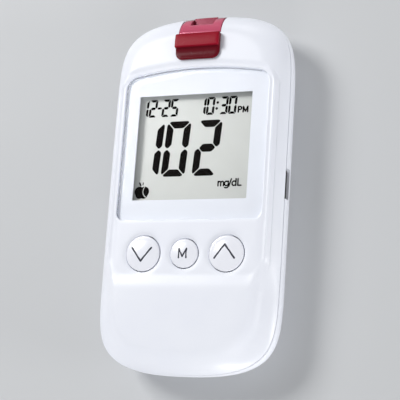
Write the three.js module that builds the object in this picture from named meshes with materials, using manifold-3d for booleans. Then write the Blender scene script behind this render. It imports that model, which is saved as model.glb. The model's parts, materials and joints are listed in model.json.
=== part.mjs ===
// A hand-held blood glucose meter, lying on its back with its face up.
// Lengths are in millimetres. X runs to the meter's right, Y to the strip port end
// and Z out of the face. The back lies on z = 0, under the middle of the outline.

import * as THREE from 'three';
import { mergeVertices } from 'three/addons/utils/BufferGeometryUtils.js';
import Module from 'manifold-3d';

const wasm = await Module();
wasm.setup();

// Clearances and finish
const seatGap = 0.15; // between pieces that rest on or in each other
const layerGap = 0.05; // between the flat layers of the display and the board
const runningGap = 0.3; // round pieces that move
const overrun = 3; // how far a cutter reaches past the skin that it cuts
const weld = 0.4; // how far a rib or boss reaches into the wall that carries it
const roundSteps = 24;
const smallRoundSteps = 10;
const outlineSteps = 64;

// Housing
const bodyWidth = 50.2;
const bodyLength = 97;
const faceHeight = 14.8;
const girthHeight = 9.1;
const partingHeight = 10.4;
const partingGap = 0.3;
const wall = 2;
const frontRound = 6.25; // how far in from the outline the front rounding ends
const frontRise = 6.35; // how far the rounding climbs over the widest section
const backRound = 7.5;
const hollowRound = 4; // the rounding of the hollow under the face
const endDrop = 0.5; // how much lower the face is at both ends than in the middle
const lipThickness = 0.65;
const lipHeight = 1.1;
const widthPower = 2.53;
const lengthPower = 10;
const frontPower = 1.74;
const cornerCrowding = 3;
const frontRoundShares = [0.05, 0.12, 0.21, 0.31, 0.42, 0.57, 0.76, 1, 1.3, 2, 2.8];
const hollowRoundShares = [0.06, 0.18, 0.4, 1];
const portRoundShares = [0.08, 0.17, 0.28, 0.42, 0.6, 0.8, 1.1, 2];

// Sunk valley along both sides of the lower face
const valleyOuterInset = 0.7; // where the valley's outer side begins
const valleyInset = 3.2; // its deepest line
const valleyWidth = 5.6;
const valleyDepth = 0.85;
const valleyLead = 1.9; // how far above the panel's lower edge the valley starts
const valleyBlend = 5;
const valleyFadeInner = 9;
const valleyFadeOuter = 20;

// Raised panel round the display and the buttons
const panelSideMargin = 3;
const panelTopMargin = 14.8;
const panelBottomMargin = 24.1;
const panelTopCorner = 4.6;
const panelBottomCorner = 5.2;
const panelEdge = 0.35;
const panelSlope = 1.1;
const panelSlopeRise = 1.1;
const channelInset = 0.95; // the middle of the channel round the panel, from the panel's edge
const channelReach = 0.65;
const channelDepth = 0.36;
const archRadius = 95;

// Display window and display
const windowSideMargin = 1.75;
const windowTopMargin = 1;
const windowBottomMargin = 15.9;
const windowTopCorner = 3.4;
const windowBottomCorner = 2.2;
const windowThickness = 1.2;
const windowGroove = 0.45;
const windowLedge = 1;
const displayDrop = 0.7; // how far below the window's middle the display's middle lies
const apertureSideMargin = 3.45;
const apertureBottomMargin = 4.7;
const apertureCorner = 0.6;
const glassSideReach = 0.7;
const glassEndReach = 2.1;
const glassThickness = 0.7;
const contactLedge = 2.7;
const polariserThickness = 0.2;
const frontPolariserInset = 0.3;
const rearPolariserInset = 0.9;
const guideThickness = 1.2;
const frameWall = 0.8;
const frameFloor = 0.5;

// Buttons and switches
const buttonRowMargin = 6.9; // between the row's middle line and the panel's lower edge
const buttonSideMargin = 5.85;
const buttonBridge = 3.2; // the face left between two buttons
const sideButtonShare = 0.3563; // a side button's radius, of the room for the three buttons
const buttonGap = 0.3;
const dishWidth = 1.1;
const dishDepth = 0.22;
const buttonEdgeRise = 0.1;
const buttonCrown = 0.65;
const crownPower = 2.1;
const buttonFlange = 0.7;
const buttonFlangeThickness = 0.6;
const buttonStemRadius = 1.5;
const buttonTravel = 0.6;
const switchWidth = 5.4;
const switchHeight = 1.7;
const plungerRadius = 1.3;
const plungerRise = 0.8;
const plungerReach = 0.6;

// Circuit board
const boardTop = 8;
const boardThickness = 1;
const boardEdgeGap = 0.7;
const boardNotchGap = 0.4;

// Strip port, its connector and the ejector
const portHalfWidth = 5.95;
const portLength = 6.1;
const portProud = 0.1;
const portFloorHeight = 10.6;
const stripHalfWidth = 3.3;
const stripFloor = 11.1;
const stripHeight = 0.7;
const notchLength = 3.3;
const connectorHalfWidth = 6.2;
const connectorGap = 0.5; // between the connector and the port
const connectorLength = 10.3;
const connectorTop = 12.05;
const contactCount = 3;
const contactSpacing = 2.1;
const contactWidth = 0.8;
const contactThickness = 0.25;
const contactGrooveWidth = 1.2;
const contactGrooveFloor = 9;
const contactGrooveLength = 6.3;
const contactFoot = 1.3;
const contactReach = 4.3;
const contactKneeShare = 0.8;

const sliderHalfWidth = 6.3;
const sliderGap = 0.4; // between the thumb piece and the port
const sliderLength = 7.1;
const sliderCorner = 2.1;
const sliderNorthCorner = 0.45;
const sliderLift = 0.65; // the thumb piece's underside, over the face
const sliderTop = 2.3;
const sliderPlateau = 3.6; // the raised part's length
const sliderLedgeDrop = 0.85;
const sliderHollow = 0.3;
const sliderEdge = 0.35;
const sliderTravel = 4;
const stemHalfWidth = 1.4;
const stemInset = 0.4;
const stemLength = 2.4;
const carriageHalfWidth = 4.4;
const carriageLead = 1.4; // how far south of the connector the carriage starts
const carriageLength = 7.7;
const carriageThickness = 0.75;
const carriageRoof = 13.05;
const fingerHalfWidth = 2;
const fingerReach = 1.9;
const fingerThickness = 0.5;
const fingerWall = 0.9;
const springSide = 8.6;
const springRadius = 1.1;
const springWire = 0.4;
const springTurns = 6;
const springTurnSteps = 8;
const springHeight = 11.1;
const springStart = 2.5; // from the carriage's south end
const springLength = 9.9;
const springSeat = 1;

// Data socket in the right side
const socketMiddle = 1.6;
const socketHalfWidth = 3.75;
const socketHeight = 2.7;
const socketSetback = 0.8; // its mouth, from the widest line of the side
const socketDepth = 5.4;
const socketWall = 0.3;
const socketCorner = 0.5;
const socketOpening = 0.3;
const tongueHalfWidth = 1.9;
const tongueThickness = 0.6;
const tongueMargin = 0.7;

// Coin cell, its holder and door
const cellRadius = 10;
const cellHeight = 3.2;
const cellMargin = 25; // its middle, from the lower end
const cellStep = 0.6;
const cellStepHeight = 0.5;
const cellLift = 0.2;
const holderWall = 1;
const holderOpening = 8;
const contactLeaf = 0.3;
const leafWidth = 3.4;
const leafReach = 6.2;
const leafFoot = 2;
const leafTouchShares = [0.55, 0.75];
const doorHalfWidth = 12.4;
const doorHalfLength = 12.6;
const doorThickness = 1.25;
const doorCorner = 2.4;
const doorTabWidth = 4;
const doorTabReach = 1.4;
const doorTabThickness = 0.8;
const doorTabSide = 6.8;
const doorTongueHalfWidth = 3.6;
const doorTongueReach = 0.8;
const doorTongueThickness = 0.9;
const doorGripCount = 4;
const doorGripSpacing = 1.5;
const doorGripDepth = 0.35;
const doorGripWidth = 0.6;
const doorGripHalfLength = 4;
const doorRibHeight = 0.5;
const ledgeWidth = 1.3;

// Screws
const caseScrewSideShare = 0.375; // of the way from the door's recess to the side wall
const caseScrewNorthMargin = 12.1;
const caseScrewSouthMargin = 10.9;
const caseBossRadius = 2.4;
const caseBossFoot = 4.8;
const caseHeadRadius = 1.8;
const caseHeadHeight = 1.2;
const caseHeadSink = 0.7;
const caseShankRadius = 0.95;
const caseScrewReach = 6;
const boardScrewSideMargin = 5.4;
const boardScrewOverButtons = 3.5;
const boardScrewFromCaseScrew = 1.1;
const boardScrewUnderCaseScrew = 4.8;
const boardBossRadius = 1.7;
const boardHeadRadius = 1.4;
const boardHeadHeight = 0.8;
const boardShankRadius = 0.7;
const boardScrewReach = 3.2;
const screwFit = 0.08;
const screwTipGap = 0.6;
const crossLengthShare = 0.62;
const crossWidthShare = 0.16;
const crossDepthShare = 0.5;

// Ribs on the inside of the back
const ribThickness = 1;
const ribHeight = 1.6;
const ribPlaceShares = [0.577, 0.35, 0.124]; // of half the body's length
const ribSideMargin = 10.7;

// Chips and other parts under the board, at shares of half the body's width and length
const processorWidth = 9;
const processorHeight = 1.3;
const processorPlaceShares = [-0.24, 0.25];
const memoryWidth = 4;
const memoryLength = 5;
const memoryHeight = 1.4;
const memoryPlaceShares = [0.22, 0.31];
const crystalRadius = 1.5;
const crystalLength = 6.5;
const crystalPlaceShares = [-0.24, 0.05];
const coilRadius = 2.6;
const coilHeight = 2.2;
const coilPlaceShares = [-0.62, -0.155];
const coilWaistShare = 0.62;
const coilFlangeShare = 0.2;
const buzzerRadius = 5;
const buzzerHeight = 2.4;
const buzzerHole = 0.8;
const buzzerPlaceShares = [0.525, 0.43];
const sensorWidth = 1.6;
const sensorHeight = 0.9;
const sensorPlaceShares = [-0.48, 0.555];
const capacitorRadius = 1.9;
const capacitorHeight = 2.9;
const capacitorBevel = 0.3;
const capacitorPlaceShares = [[0.66, 0.165], [0.66, 0.041], [0.66, -0.083]];

// Derived places in the plan
const halfWidth = bodyWidth / 2;
const halfLength = bodyLength / 2;
const panelHalfWidth = halfWidth - panelSideMargin;
const panelTop = halfLength - panelTopMargin;
const panelBottom = panelBottomMargin - halfLength;
const valleyStart = -panelBottom - valleyLead;
const windowHalfWidth = panelHalfWidth - windowSideMargin;
const windowTop = panelTop - windowTopMargin;
const windowBottom = panelBottom + windowBottomMargin;
const displayMiddle = (windowTop + windowBottom) / 2 - displayDrop;
const apertureHalfWidth = windowHalfWidth - apertureSideMargin;
const apertureHalfLength = displayMiddle - windowBottom - apertureBottomMargin;
const glassHalfWidth = apertureHalfWidth + glassSideReach;
const glassHalfLength = apertureHalfLength + glassEndReach;
const buttonRow = panelBottom + buttonRowMargin;
const buttonRoom = panelHalfWidth - buttonSideMargin - buttonBridge;
const sideButtonRadius = buttonRoom * sideButtonShare;
const middleButtonRadius = buttonRoom - 2 * sideButtonRadius;
const buttonSpacing = sideButtonRadius + buttonBridge + middleButtonRadius;
const portSouth = halfLength - portLength;
const notchSouth = halfLength - notchLength;
const connectorNorth = portSouth - connectorGap;
const connectorSouth = connectorNorth - connectorLength;
const sliderNorth = portSouth - sliderGap;
const sliderSouth = sliderNorth - sliderLength;
const sliderLedge = sliderNorth - sliderPlateau;
const stemSouth = sliderSouth + stemInset;
const stemNorth = stemSouth + stemLength;
const carriageSouth = connectorSouth - carriageLead;
const carriageNorth = carriageSouth + carriageLength;
const springSouth = carriageSouth + springStart;
const springNorth = springSouth + springLength;
const socketOuter = halfWidth - socketSetback;
const socketInner = socketOuter - socketDepth;
const cellMiddle = cellMargin - halfLength;
const doorNorth = cellMiddle + doorHalfLength;
const doorSouth = cellMiddle - doorHalfLength;
const doorRecessSide = doorHalfWidth + runningGap;
const caseScrewSide = doorRecessSide + caseScrewSideShare * (halfWidth - wall - doorRecessSide);
const caseScrewNorth = halfLength - caseScrewNorthMargin;
const caseScrewSouth = caseScrewSouthMargin - halfLength;
const boardScrewSide = halfWidth - boardScrewSideMargin;
const boardScrewSouth = buttonRow + boardScrewOverButtons;
const boardScrewUpperSide = caseScrewSide - boardScrewFromCaseScrew;
const boardScrewNorth = caseScrewNorth - boardScrewUnderCaseScrew;
const ribHalfLength = halfWidth - ribSideMargin;

// Derived heights
const windowSeat = faceHeight - windowThickness - seatGap;
const cavityRoof = windowSeat - windowLedge;
const boardBottom = boardTop - boardThickness;
const frontFoot = partingHeight + partingGap / 2;
const backTop = partingHeight - partingGap / 2;
const switchTop = boardTop + layerGap + switchHeight;
const frameBottom = boardTop + layerGap;
const frameTop = cavityRoof - seatGap;
const guideBottom = frameBottom + frameFloor + layerGap;
const rearPolariserBottom = guideBottom + guideThickness + layerGap;
const rearGlassBottom = rearPolariserBottom + polariserThickness + layerGap;
const frontGlassBottom = rearGlassBottom + glassThickness + layerGap;
const frontPolariserBottom = frontGlassBottom + glassThickness + layerGap;
const cellBottom = wall + cellLift;
const sliderBottomHeight = faceHeight + sliderLift;
const carriageTop = carriageRoof - seatGap;
const carriageBottom = carriageTop - carriageThickness;
const stripTop = stripFloor + stripHeight;
const socketLevel = boardTop + layerGap + socketHeight / 2;

// Solids: a closed mesh becomes a solid that can be joined and cut
function toSolid(geometry) {
  const bare = geometry.clone();
  bare.deleteAttribute('normal');
  bare.deleteAttribute('uv');
  const merged = mergeVertices(bare);
  return new wasm.Manifold(new wasm.Mesh({
    numProp: 3,
    vertProperties: new Float32Array(merged.attributes.position.array),
    triVerts: new Uint32Array(merged.index.array),
  }));
}

function toGeometry(solid) {
  const mesh = solid.getMesh();
  const geometry = new THREE.BufferGeometry();
  geometry.setAttribute('position', new THREE.BufferAttribute(new Float32Array(mesh.vertProperties), 3));
  geometry.setIndex(Array.from(mesh.triVerts));
  geometry.computeVertexNormals();
  return geometry;
}

function join(first, ...others) {
  return others.reduce((whole, other) => whole.add(other), first);
}

function cut(first, ...cutters) {
  return cutters.reduce((whole, cutter) => whole.subtract(cutter), first);
}

// A block between two corners
function block(low, high) {
  const geometry = new THREE.BoxGeometry(high[0] - low[0], high[1] - low[1], high[2] - low[2]);
  geometry.translate((low[0] + high[0]) / 2, (low[1] + high[1]) / 2, (low[2] + high[2]) / 2);
  return toSolid(geometry);
}

// A round piece along Z from its half profile, given as radius and height pairs
function turned(profile, x, y, bottom, steps = roundSteps) {
  const points = profile.map(([radius, height]) => new THREE.Vector2(radius, height));
  const geometry = new THREE.LatheGeometry(points, steps);
  geometry.rotateX(Math.PI / 2);
  geometry.translate(x, y, bottom);
  return toSolid(geometry);
}

function rod(radius, height, x, y, bottom, steps = roundSteps) {
  return turned([[0, 0], [radius, 0], [radius, height], [0, height]], x, y, bottom, steps);
}

// A flat outline raised from one height to another
function slab(shape, bottom, top, curveSegments = 8) {
  const geometry = new THREE.ExtrudeGeometry(shape, {
    depth: top - bottom,
    bevelEnabled: false,
    curveSegments,
  });
  geometry.translate(0, 0, bottom);
  return toSolid(geometry);
}

// The same with sloped edges: the outline grows by spread over the height of rise at both ends
function slopedSlab(shape, bottom, top, spread, rise, offset, segments = 1, curveSegments = 8) {
  const geometry = new THREE.ExtrudeGeometry(shape, {
    depth: top - bottom - 2 * rise,
    bevelEnabled: true,
    bevelThickness: rise,
    bevelSize: spread,
    bevelOffset: offset,
    bevelSegments: segments,
    curveSegments,
  });
  geometry.translate(0, 0, bottom + rise);
  return toSolid(geometry);
}

// A profile in the YZ plane, carried along X between two sides
function sideProfile(points, left, right) {
  const shape = new THREE.Shape(points.map(([y, z]) => new THREE.Vector2(y, z)));
  const geometry = new THREE.ExtrudeGeometry(shape, { depth: right - left, bevelEnabled: false });
  geometry.rotateX(Math.PI / 2);
  geometry.rotateZ(Math.PI / 2);
  geometry.translate(left, 0, 0);
  return toSolid(geometry);
}

function roundedRectangle(halfX, halfY, corner, middleX = 0, middleY = 0) {
  const quarter = Math.PI / 2;
  const right = middleX + halfX - corner;
  const left = middleX - halfX + corner;
  const upper = middleY + halfY - corner;
  const lower = middleY - halfY + corner;
  const shape = new THREE.Shape();
  shape.absarc(right, lower, corner, -quarter, 0);
  shape.absarc(right, upper, corner, 0, quarter);
  shape.absarc(left, upper, corner, quarter, 2 * quarter);
  shape.absarc(left, lower, corner, 2 * quarter, 3 * quarter);
  shape.closePath();
  return shape;
}

// An upright outline with an arched top, as the panel and the window have
function archedOutline(halfX, bottom, top, bottomCorner, topCorner, radius) {
  const quarter = Math.PI / 2;
  const archMiddle = top - radius;
  const cornerSide = halfX - topCorner;
  const cornerRise = Math.sqrt((radius - topCorner) ** 2 - cornerSide ** 2);
  const turn = Math.atan2(cornerRise, cornerSide);
  const shape = new THREE.Shape();
  shape.absarc(halfX - bottomCorner, bottom + bottomCorner, bottomCorner, -quarter, 0);
  shape.absarc(cornerSide, archMiddle + cornerRise, topCorner, 0, turn);
  shape.absarc(0, archMiddle, radius, turn, Math.PI - turn);
  shape.absarc(-cornerSide, archMiddle + cornerRise, topCorner, Math.PI - turn, Math.PI);
  shape.absarc(bottomCorner - halfX, bottom + bottomCorner, bottomCorner, Math.PI, 3 * quarter);
  shape.closePath();
  return shape;
}

// The housing's outline, drawn in by an inset, as a ring of points. It is a superellipse whose
// ends are squarer than its sides, with the points crowded into its corners.
function outlineRing(inset, heightAt) {
  const ring = [];
  for (let step = 0; step < outlineSteps; step += 1) {
    const angle = (2 * Math.PI * step) / outlineSteps;
    const along = Math.abs(Math.sin(angle)) ** cornerCrowding;
    const across = Math.sqrt(1 - along ** 2);
    const x = Math.sign(Math.cos(angle)) * (halfWidth - inset) * across ** (2 / widthPower);
    const y = Math.sign(Math.sin(angle)) * (halfLength - inset) * along ** (2 / lengthPower);
    ring.push(new THREE.Vector3(x, y, heightAt(x, y, inset)));
  }
  return ring;
}

function middleOf(ring) {
  return ring.reduce((sum, point) => sum.add(point), new THREE.Vector3()).divideScalar(ring.length);
}

// A closed solid through rings of points, from the lowest ring to the highest
function loft(rings) {
  const count = rings[0].length;
  const points = [...rings.flat(), middleOf(rings[0]), middleOf(rings[rings.length - 1])];
  const lowMiddle = points.length - 2;
  const highMiddle = points.length - 1;
  const highRing = (rings.length - 1) * count;
  const triangles = [];
  for (let step = 0; step < count; step += 1) {
    const next = (step + 1) % count;
    for (let level = 0; level < rings.length - 1; level += 1) {
      const low = level * count;
      const high = low + count;
      triangles.push(low + step, low + next, high + next);
      triangles.push(low + step, high + next, high + step);
    }
    triangles.push(lowMiddle, next, step);
    triangles.push(highMiddle, highRing + step, highRing + next);
  }
  const geometry = new THREE.BufferGeometry();
  const places = points.flatMap((point) => point.toArray());
  geometry.setAttribute('position', new THREE.Float32BufferAttribute(places, 3));
  geometry.setIndex(triangles);
  return toSolid(geometry);
}

// A smooth climb from 0 to 1 between two values
function climb(value, from, to) {
  return THREE.MathUtils.smoothstep(value, from, to);
}

// How high the front rounding has climbed, as a share, at a share of its inset
function roundingShare(insetShare) {
  const rest = 1 - Math.min(insetShare, 1);
  return (1 - rest ** frontPower) ** (1 / frontPower);
}

function valleyAt(x, y, inset) {
  const outerClimb = climb(inset, valleyOuterInset, valleyInset);
  const innerFall = 1 - climb(inset, valleyInset, valleyInset + valleyWidth);
  const along = climb(-y, valleyStart, valleyStart + valleyBlend);
  const across = climb(Math.abs(x), valleyFadeInner, valleyFadeOuter);
  return valleyDepth * outerClimb * innerFall ** 2 * along * across;
}

function faceHeightAt(x, y, inset) {
  const share = roundingShare(inset / frontRound);
  return girthHeight + share * (frontRise - endDrop * (y / halfLength) ** 2) - valleyAt(x, y, inset);
}

// The inset at which the front rounding passes a height near the widest section
function insetAtHeight(height) {
  const share = (height - girthHeight) / frontRise;
  return frontRound * (1 - (1 - share ** frontPower) ** (1 / frontPower));
}

function level(height) {
  return () => height;
}

// The outer form of the front, from the parting line to the middle of the face
function frontForm() {
  const footInset = insetAtHeight(frontFoot);
  const rings = [outlineRing(footInset, level(frontFoot))];
  frontRoundShares.forEach((share) => rings.push(outlineRing(share * frontRound, faceHeightAt)));
  return loft(rings);
}

// The hollow under the face
function frontHollow() {
  const hollowRise = cavityRoof - girthHeight;
  const rings = [outlineRing(wall, level(backTop - overrun))];
  hollowRoundShares.forEach((share) => {
    const height = girthHeight + hollowRise * roundingShare(share);
    rings.push(outlineRing(wall + share * hollowRound, level(height)));
  });
  return loft(rings);
}

// The back shell's form, from the flat back up to the parting line
function backForm(skin, top) {
  const steps = 6;
  const rings = [];
  for (let step = steps; step >= 0; step -= 1) {
    const angle = (Math.PI / 2) * (step / steps);
    const inset = skin + backRound * (1 - Math.cos(angle));
    rings.push(outlineRing(inset, level(girthHeight - (girthHeight - skin) * Math.sin(angle))));
  }
  const topInset = skin > 0 ? skin : insetAtHeight(top);
  rings.push(outlineRing(topInset, level(top)));
  return loft(rings);
}

// A rounded bar along X, on the data socket's middle line, grown all round by a margin
function socketBar(margin, inner, outer) {
  const shape = roundedRectangle(
    socketHalfWidth + margin, socketHeight / 2 + margin, socketCorner + margin, socketMiddle, socketLevel,
  );
  const depth = outer - inner;
  const geometry = new THREE.ExtrudeGeometry(shape, { depth, bevelEnabled: false, curveSegments: 4 });
  geometry.rotateX(Math.PI / 2);
  geometry.rotateZ(Math.PI / 2);
  geometry.translate(inner, 0, 0);
  return toSolid(geometry);
}

// The opening in the side for the data socket
function socketCutter() {
  return socketBar(socketOpening, socketInner, halfWidth + overrun);
}

// Where the screws stand
function caseScrewPlaces() {
  return [
    [-caseScrewSide, caseScrewNorth], [caseScrewSide, caseScrewNorth],
    [-caseScrewSide, caseScrewSouth], [caseScrewSide, caseScrewSouth],
  ];
}

function boardScrewPlaces() {
  return [
    [-boardScrewUpperSide, boardScrewNorth], [boardScrewUpperSide, boardScrewNorth],
    [-boardScrewSide, boardScrewSouth], [boardScrewSide, boardScrewSouth],
  ];
}

const buttons = [
  { name: 'down', x: -buttonSpacing, radius: sideButtonRadius },
  { name: 'memory', x: 0, radius: middleButtonRadius },
  { name: 'up', x: buttonSpacing, radius: sideButtonRadius },
];

// The V-shaped channel that runs round the window inside the panel's edge
function panelChannel() {
  const middleLine = archedOutline(
    panelHalfWidth - channelInset, panelBottom + channelInset, panelTop - channelInset,
    panelBottomCorner - channelInset, panelTopCorner - channelInset, archRadius - channelInset,
  );
  const floor = faceHeight - channelDepth;
  const outerWall = slopedSlab(
    middleLine, floor, floor + 2 * channelDepth + overrun, channelReach, channelDepth, 0, 1, 5,
  );
  const innerWall = slopedSlab(
    middleLine, floor - overrun, faceHeight, channelReach, channelDepth, -channelReach, 1, 5,
  );
  return cut(outerWall, innerWall);
}

// Front cover
function makeFrontCover() {
  const panel = archedOutline(
    panelHalfWidth, panelBottom, panelTop, panelBottomCorner, panelTopCorner, archRadius,
  );
  const recessTop = faceHeight + 2 * panelSlopeRise + overrun;
  const recess = slopedSlab(panel, faceHeight, recessTop, panelSlope, panelSlopeRise, 0);
  const island = slopedSlab(panel, cavityRoof, faceHeight, panelEdge, panelEdge, -panelEdge, 2);
  const seat = archedOutline(
    windowHalfWidth + seatGap, windowBottom - seatGap, windowTop + windowGroove,
    windowBottomCorner, windowTopCorner + windowGroove, archRadius + windowGroove,
  );
  const aperture = roundedRectangle(apertureHalfWidth, apertureHalfLength, apertureCorner, 0, displayMiddle);
  let cover = cut(frontForm(), recess);
  cover = cut(join(cover, island), frontHollow(), panelChannel());

  // the rebate that takes the back cover's lip
  const rebateInset = wall - lipThickness - seatGap;
  const rebateTop = backTop + lipHeight + seatGap;
  cover = cut(cover, loft([
    outlineRing(rebateInset, level(frontFoot - overrun)),
    outlineRing(rebateInset, level(rebateTop)),
  ]));

  const bosses = caseScrewPlaces().map(([x, y]) => (
    rod(caseBossRadius, cavityRoof + weld - caseBossFoot, x, y, caseBossFoot, smallRoundSteps)
  ));
  const standoffs = boardScrewPlaces().map(([x, y]) => (
    rod(boardBossRadius, cavityRoof + weld - boardTop - layerGap, x, y, boardTop + layerGap, smallRoundSteps)
  ));
  const springStop = block(
    [springSide - springRadius - springWire, springNorth + seatGap, springHeight - springRadius - springWire],
    [springSide + springRadius + springWire, springNorth + seatGap + springSeat, cavityRoof + weld],
  );
  cover = join(cover, ...bosses, ...standoffs, springStop);

  const pilots = caseScrewPlaces().map(([x, y]) => (
    rod(caseShankRadius + screwFit, caseScrewReach, x, y, caseBossFoot - weld, smallRoundSteps)
  ));
  const boardPilots = boardScrewPlaces().map(([x, y]) => (
    rod(boardShankRadius + screwFit, boardScrewReach, x, y, boardTop, smallRoundSteps)
  ));
  const buttonHoles = buttons.map(({ x, radius }) => (
    rod(radius + buttonGap, overrun * 2, x, buttonRow, faceHeight - overrun)
  ));
  const dishes = buttons.map(({ x, radius }) => {
    const inner = radius + buttonGap;
    const outer = inner + dishWidth;
    return turned([
      [0, -dishDepth], [inner, -dishDepth], [outer, 0], [outer, overrun], [0, overrun],
    ], x, buttonRow, faceHeight);
  });

  // the channel for the port, the slot for the slider's stem and the pocket for the carriage
  const channelHalf = portHalfWidth + seatGap;
  const channel = block(
    [-channelHalf, portSouth - seatGap, frontFoot - overrun],
    [channelHalf, halfLength + overrun, faceHeight + overrun],
  );
  const stemSlot = block(
    [-stemHalfWidth - runningGap, stemSouth - runningGap, cavityRoof],
    [stemHalfWidth + runningGap, stemNorth + sliderTravel + runningGap, faceHeight + overrun],
  );
  const pocket = block(
    [-carriageHalfWidth - runningGap, carriageSouth - runningGap, cavityRoof - overrun],
    [carriageHalfWidth + runningGap, carriageNorth + sliderTravel + runningGap, carriageRoof],
  );
  const armPocket = block(
    [carriageHalfWidth, springSouth - springSeat - 2 * runningGap, cavityRoof - overrun],
    [springSide + springRadius + springWire + runningGap, springNorth, carriageRoof],
  );
  return cut(
    cover,
    slab(seat, windowSeat, faceHeight + overrun),
    slab(aperture, cavityRoof - overrun, faceHeight + overrun, 3),
    ...buttonHoles, ...dishes, ...pilots, ...boardPilots,
    channel, stemSlot, pocket, armPocket, socketCutter(),
  );
}

// Back cover
function makeBackCover() {
  const lipInset = wall - lipThickness;
  const lip = loft([
    outlineRing(lipInset, level(girthHeight)),
    outlineRing(lipInset, level(backTop + lipHeight)),
  ]);
  let cover = cut(join(backForm(0, backTop), lip), backForm(wall, backTop + lipHeight + overrun));

  // posts under the front cover's bosses
  const postTop = caseBossFoot - seatGap;
  const posts = caseScrewPlaces().map(([x, y]) => (
    rod(caseBossRadius, postTop - wall + weld, x, y, wall - weld, smallRoundSteps)
  ));
  const ribs = [];
  ribPlaceShares.forEach((share) => {
    const y = share * halfLength;
    ribs.push(block(
      [-ribHalfLength, y - ribThickness / 2, wall - weld],
      [ribHalfLength, y + ribThickness / 2, wall + ribHeight],
    ));
  });
  cover = join(cover, ...posts, ...ribs);

  const screwHoles = caseScrewPlaces().flatMap(([x, y]) => [
    rod(caseShankRadius + screwFit, postTop + overrun, x, y, -overrun / 2, smallRoundSteps),
    rod(caseHeadRadius + seatGap, caseHeadSink + caseHeadHeight + overrun, x, y, -overrun, smallRoundSteps),
  ]);

  // the door's recess, the opening for the cell, and the cuts for the door's tabs and tongue
  const recess = roundedRectangle(
    doorRecessSide, doorHalfLength + runningGap, doorCorner + runningGap, 0, cellMiddle,
  );
  const opening = roundedRectangle(
    doorHalfWidth - ledgeWidth, doorHalfLength - ledgeWidth, doorCorner, 0, cellMiddle,
  );
  const tabBottom = doorThickness + seatGap;
  const tabCuts = [-doorTabSide, doorTabSide].map((x) => block(
    [x - doorTabWidth / 2 - runningGap, doorNorth - ledgeWidth - overrun, tabBottom - runningGap],
    [x + doorTabWidth / 2 + runningGap, doorNorth + doorTabReach + 2 * runningGap, wall + overrun],
  ));
  const tongueCut = block(
    [-doorTongueHalfWidth - runningGap, doorSouth - doorTongueReach - runningGap, -overrun],
    [doorTongueHalfWidth + runningGap, cellMiddle, doorThickness + seatGap],
  );
  const portNotch = block(
    [-portHalfWidth - seatGap, halfLength - wall - overrun, backTop - seatGap],
    [portHalfWidth + seatGap, halfLength + overrun, backTop + lipHeight + overrun],
  );
  return cut(
    cover, ...screwHoles,
    slab(recess, -overrun, doorThickness + seatGap, 6),
    slab(opening, -overrun, wall + overrun, 4),
    ...tabCuts, tongueCut, portNotch, socketCutter(),
  );
}

// Battery door: a plate with two tabs, a pull tongue, grip grooves and a stiffening rim
function makeBatteryDoor() {
  const plate = roundedRectangle(doorHalfWidth, doorHalfLength, doorCorner, 0, cellMiddle);
  const rimHalfWidth = doorHalfWidth - ledgeWidth - runningGap;
  const rimHalfLength = doorHalfLength - ledgeWidth - runningGap;
  const rim = roundedRectangle(rimHalfWidth, rimHalfLength, doorCorner, 0, cellMiddle);
  const rimInside = roundedRectangle(
    rimHalfWidth - ribThickness, rimHalfLength - ribThickness, doorCorner - ribThickness, 0, cellMiddle,
  );
  const rimTop = doorThickness + doorRibHeight;
  const tabBottom = doorThickness + seatGap;
  const tabTop = tabBottom + doorTabThickness;
  const tabs = [-doorTabSide, doorTabSide].map((x) => sideProfile([
    [doorNorth - ledgeWidth, doorThickness - weld],
    [doorNorth - seatGap, doorThickness - weld],
    [doorNorth + seatGap, tabBottom],
    [doorNorth + doorTabReach, tabBottom],
    [doorNorth + doorTabReach, tabTop],
    [doorNorth - ledgeWidth, tabTop],
  ], x - doorTabWidth / 2, x + doorTabWidth / 2));
  const tongue = sideProfile([
    [doorSouth + weld, 0],
    [doorSouth + weld, doorTongueThickness],
    [doorSouth - doorTongueReach, doorTongueThickness],
    [doorSouth - doorTongueReach, doorTongueThickness / 2],
    [doorSouth - doorTongueReach / 2, 0],
  ], -doorTongueHalfWidth, doorTongueHalfWidth);
  const grips = [];
  for (let copy = 0; copy < doorGripCount; copy += 1) {
    const y = doorSouth + ledgeWidth + (copy + 1) * doorGripSpacing;
    grips.push(block(
      [-doorGripHalfLength, y - doorGripWidth / 2, -overrun],
      [doorGripHalfLength, y + doorGripWidth / 2, doorGripDepth],
    ));
  }
  const body = join(
    slab(plate, 0, doorThickness, 6),
    cut(slab(rim, doorThickness - weld, rimTop, 4), slab(rimInside, doorThickness, rimTop + overrun, 4)),
    ...tabs, tongue,
  );
  return cut(body, ...grips);
}

// Display window: a clear plate with the arched top
function makeDisplayWindow() {
  const shape = archedOutline(
    windowHalfWidth, windowBottom, windowTop, windowBottomCorner, windowTopCorner, archRadius,
  );
  return slab(shape, windowSeat + seatGap, faceHeight);
}

// Display: two glasses, two polarisers and the light guide in a frame, on two contact strips
function displayPlate(halfX, south, north, bottom, thickness) {
  return block([-halfX, displayMiddle + south, bottom], [halfX, displayMiddle + north, bottom + thickness]);
}

function makeFrontGlass() {
  return displayPlate(glassHalfWidth, -glassHalfLength, glassHalfLength, frontGlassBottom, glassThickness);
}

function makeRearGlass() {
  const reach = glassHalfLength - contactLedge;
  return displayPlate(glassHalfWidth, -reach, reach, rearGlassBottom, glassThickness);
}

function makeFrontPolariser() {
  const reach = glassHalfLength - frontPolariserInset;
  const halfX = glassHalfWidth - frontPolariserInset;
  return displayPlate(halfX, -reach, reach, frontPolariserBottom, polariserThickness);
}

function makeRearPolariser() {
  const reach = glassHalfLength - contactLedge - layerGap;
  const halfX = glassHalfWidth - rearPolariserInset;
  return displayPlate(halfX, -reach, reach, rearPolariserBottom, polariserThickness);
}

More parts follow.
